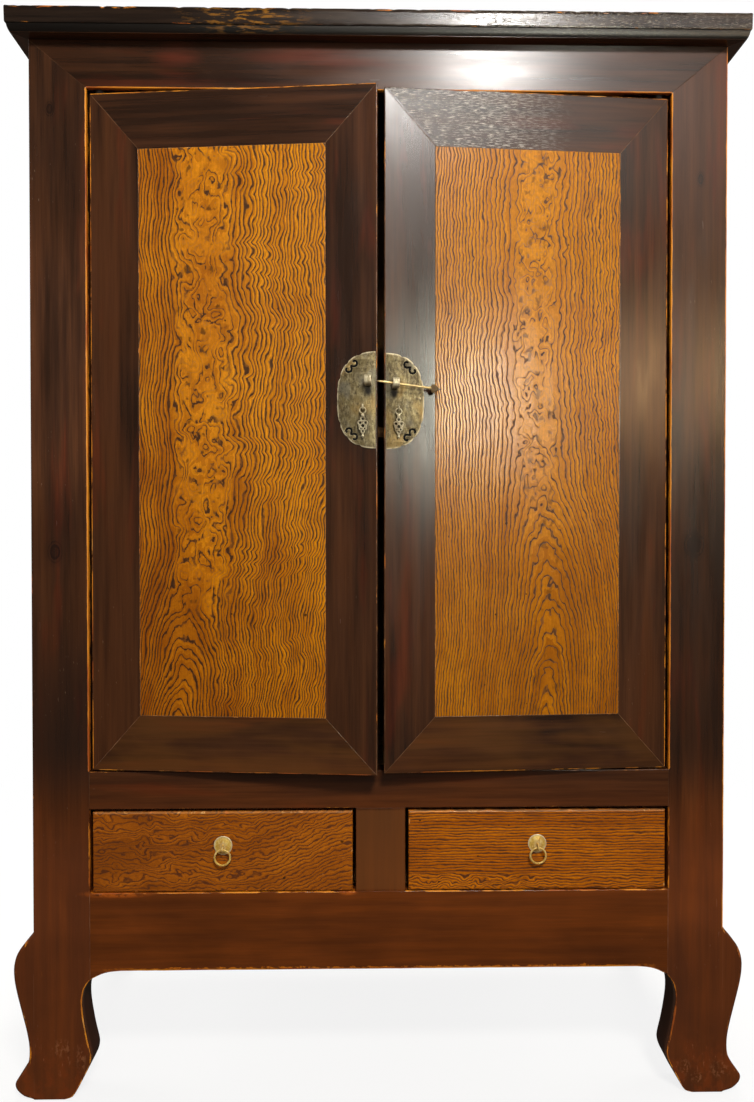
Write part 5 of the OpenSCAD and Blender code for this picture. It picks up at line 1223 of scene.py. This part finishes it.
# ------------------------------------------------------------------ drawers
E_DRAW = (2.4, 0.22, 0.6, 2.0, 0.0)
# the top arris of a drawer front is worn, and its pale line is a painted highlight
E_DRAW_TOP_HIGHLIGHT = (2.6, 0.26, 0.8, 3.0, 0.28)
for side, name, body in ((-1, "left", "drawer_left"), (1, "right", "drawer_right")):
    fl = (lambda q: q) if side > 0 else (lambda q: q.mirrored())
    spec = [(DX0, DZ0, E_DRAW), (DX1, DZ0, E_DRAW), (DX1, DZ1, E_DRAW_TOP_HIGHLIGHT), (DX0, DZ1, E_DRAW)]
    x_left = -DX1 if side < 0 else DX0
    make(f"drawer_{name}_front", fl(plank(spec, 0, 22.0, seed=40 + side)), BURL["dl" if side < 0 else "dr"], body, [f"{name}_drawer_front"],
         pn=lambda v, x0=x_left: np.stack([v[:, 2] - DZ0, v[:, 0] - x0, v[:, 1]], 1))
    sides = [rbox((DX0, 22.05, DZ0), (DX0 + 12, DRAWER_L, DZ1 - 7)), rbox((DX1 - 12, 22.05, DZ0), (DX1, DRAWER_L, DZ1 - 7))]
    make(f"drawer_{name}_sides", [fl(q) for q in sides], PLAIN, body, [f"{name}_drawer_sides"], grain="y")
    make(f"drawer_{name}_back", fl(rbox((DX0 + 12, DRAWER_L - 12, DZ0 + 12.7), (DX1 - 12, DRAWER_L - 0.1, DZ1 - 7))), PLAIN, body, [f"{name}_drawer_back"], grain="x")
    make(f"drawer_{name}_bottom", fl(rbox((DX0 + 11.5, 22.05, DZ0 + 4.5), (DX1 - 11.5, DRAWER_L - 0.1, DZ0 + 12.5))), PLAIN, body, [f"{name}_drawer_bottom"], grain="y")
    ros = [(0, -0.02), (15.6, -0.02), (16.0, -0.3), (15.9, -0.7), (15.3, -1.05), (14.0, -1.15), (13.2, -1.05), (12.0, -1.4), (9.0, -2.3), (6.0, -2.8), (4.0, -3.0), (2.6, -3.0), (0, -3.0)]
    make(f"drawer_{name}_rosette", fl(lathe(ros, (DXC, 0, ROS_Z), "y", 72, [0, 0, .3, .9, .9, .2, .1, 0, 0, .1, .3, .3, 0], wob=0.006)), BRASS_B, body, [f"{name}_drawer_rosette"], angle=50)
    st = [torus((DXC, -9.5, ROS_Z - 4.0), 4.4, 1.4, "x", 40, 14),
          lathe([(0, -6.6), (1.6, -6.6), (2.0, -6.0), (2.0, 22.0), (1.6, 23.0), (0, 23.0)], (DXC, 0, ROS_Z), "y", 28),
          rbox((DXC - 2, 22.05, ROS_Z - 12), (DXC + 2, 23.8, ROS_Z + 12), 0.5, 0.5, 0.4)]
    make(f"drawer_{name}_staple", [fl(q) for q in st], BRASS_B, body, [f"{name}_drawer_staple"], angle=50)
    make(f"drawer_{name}_ring", fl(torus((DXC, -9.5, ROS_Z - 4 - 0.9 - 13.25), 13.25, 1.75, "y", 96, 20)), BRASS_B, f"ring_{name}", [f"{name}_drawer_ring"], angle=50)

# ------------------------------------------------------------------ studio
world = bpy.data.worlds.new("world")
bpy.context.scene.world = world
world.use_nodes = True
wt = world.node_tree
wt.nodes.clear()
wo = wt.nodes.new("ShaderNodeOutputWorld")
bg = wt.nodes.new("ShaderNodeBackground")
lp = wt.nodes.new("ShaderNodeLightPath")
mx = wt.nodes.new("ShaderNodeMix")
mx.data_type = "RGBA"
mx.inputs[6].default_value = (0.14, 0.13, 0.12, 1.0)
mx.inputs[7].default_value = (1.0, 1.0, 1.0, 1.0)
mg = wt.nodes.new("ShaderNodeMix")
mg.data_type = "RGBA"
mg.inputs[7].default_value = (0.07, 0.055, 0.042, 1.0)
wt.links.new(lp.outputs["Is Glossy Ray"], mg.inputs[0])
wt.links.new(mx.outputs[2], mg.inputs[6])
wt.links.new(lp.outputs["Is Camera Ray"], mx.inputs[0])
wt.links.new(mg.outputs[2], bg.inputs["Color"])
bg.inputs["Strength"].default_value = 1.0
wt.links.new(bg.outputs[0], wo.inputs["Surface"])

fm = Mat("floor_pale", Specular_IOR_Level=0.2)
tc = fm.t.nodes.new("ShaderNodeTexCoord")
fn = fm.noise(fm.vec(tc.outputs["Object"], (3.0, 3.0, 3.0)), 4.0, 0.5)
fm.put(fm.b.inputs["Base Color"], fm.mix(fn, lin(242, 240, 237), lin(250, 249, 247)))
fm.put(fm.b.inputs["Roughness"], fm.add(0.6, fm.mul(fn, 0.2)))
# the floor goes over into the white of the background
fx_, fy_, _ = fm.sep(tc.outputs["Object"])
fade = fm.rng(fm.math("SQRT", fm.add(fm.mul(fx_, fx_), fm.mul(fy_, fy_))), 0.5, 2.3, 0.82, 1.0)
glow = fm.t.nodes.new("ShaderNodeEmission")
glow.inputs["Strength"].default_value = 1.0
both = fm.t.nodes.new("ShaderNodeMixShader")
fm.t.links.new(fade, both.inputs[0])
fm.t.links.new(fm.b.outputs[0], both.inputs[1])
fm.t.links.new(glow.outputs[0], both.inputs[2])
fm.t.links.new(both.outputs[0], fm.out.inputs["Surface"])
me = bpy.data.meshes.new("floor")
R = 14.0
seg = 64
me.from_pydata([(R * math.cos(2 * math.pi * i / seg), R * math.sin(2 * math.pi * i / seg), -0.0005) for i in range(seg)], [], [tuple(range(seg))])
me.materials.append(fm.m)
floor = bpy.data.objects.new("floor", me)
bpy.context.scene.collection.objects.link(floor)
floor.visible_glossy = False
floor.visible_diffuse = False


def area(name, loc, target, size, power, color=(1, 1, 1), glossy=True, diffuse=True):
    li = bpy.data.lights.new(name, "AREA")
    li.shape = "RECTANGLE"
    li.size, li.size_y = size
    li.energy = power
    li.color = color
    ob = bpy.data.objects.new(name, li)
    bpy.context.scene.collection.objects.link(ob)
    d = Vector(target) - Vector(loc)
    ob.matrix_world = Matrix.Translation(Vector(loc)) @ d.to_track_quat("-Z", "Y").to_matrix().to_4x4()
    ob.visible_glossy = glossy
    ob.visible_diffuse = diffuse
    ob.visible_camera = False
    return ob


area("lamp_high", (0.575, -3.0, 3.19), (0.0, SY, 1.1), (0.75, 0.5), 105.0, (1.0, 0.96, 0.90), glossy=False)
area("fill_front", (-0.3, -3.6, 2.2), (0.0, SY, 0.9), (3.2, 2.0), 28.0, (1.0, 0.96, 0.9), glossy=False)
# reflections only: the lamp itself and bright surfaces to the right of the camera
area("glint", (0.585, -3.0, 3.22), (0.2, SY, 1.7), (0.22, 0.36), 38.0, (1.0, 0.98, 0.95), diffuse=False)
area("glint_haze", (1.05, -3.0, 3.12), (0.3, SY, 1.7), (1.0, 0.45), 2.3, (1.0, 0.93, 0.90), diffuse=False)
area("glint_wide", (0.48, -3.0, 2.66), (0.05, SY, 1.5), (0.46, 0.8), 4.8, (1.0, 0.82, 0.70), diffuse=False)
area("window_panel", (0.86, -3.0, 1.60), (0.13, SY, 1.2), (0.28, 0.48), 24.0, (1.0, 1.0, 0.84), diffuse=False)
area("window_post", (1.55, -3.0, 2.86), (0.5, SY, 1.6), (0.6, 0.7), 2.2, (1.0, 0.90, 0.80), diffuse=False)
area("window_warm", (1.80, -3.0, 1.74), (0.5, SY, 1.24), (0.18, 0.40), 6.8, (1.0, 0.60, 0.28), diffuse=False)
area("over", (0.0, 1.4, 4.4), (0.0, 0.3, 0.0), (2.4, 1.6), 110.0, (1.0, 0.98, 0.96), glossy=False)
area("side_left", (-3.6, 0.4, 2.0), (0.0, 0.0, 0.9), (2.0, 2.0), 50.0, (1.0, 0.98, 0.96), glossy=True)
area("side_right", (3.6, 0.6, 2.0), (0.0, 0.0, 0.9), (2.0, 2.0), 50.0, (1.0, 0.98, 0.96), glossy=True)
area("back", (0.4, 3.8, 2.4), (0.0, 0.0, 0.9), (2.4, 2.0), 70.0, (1.0, 0.98, 0.96), glossy=True)
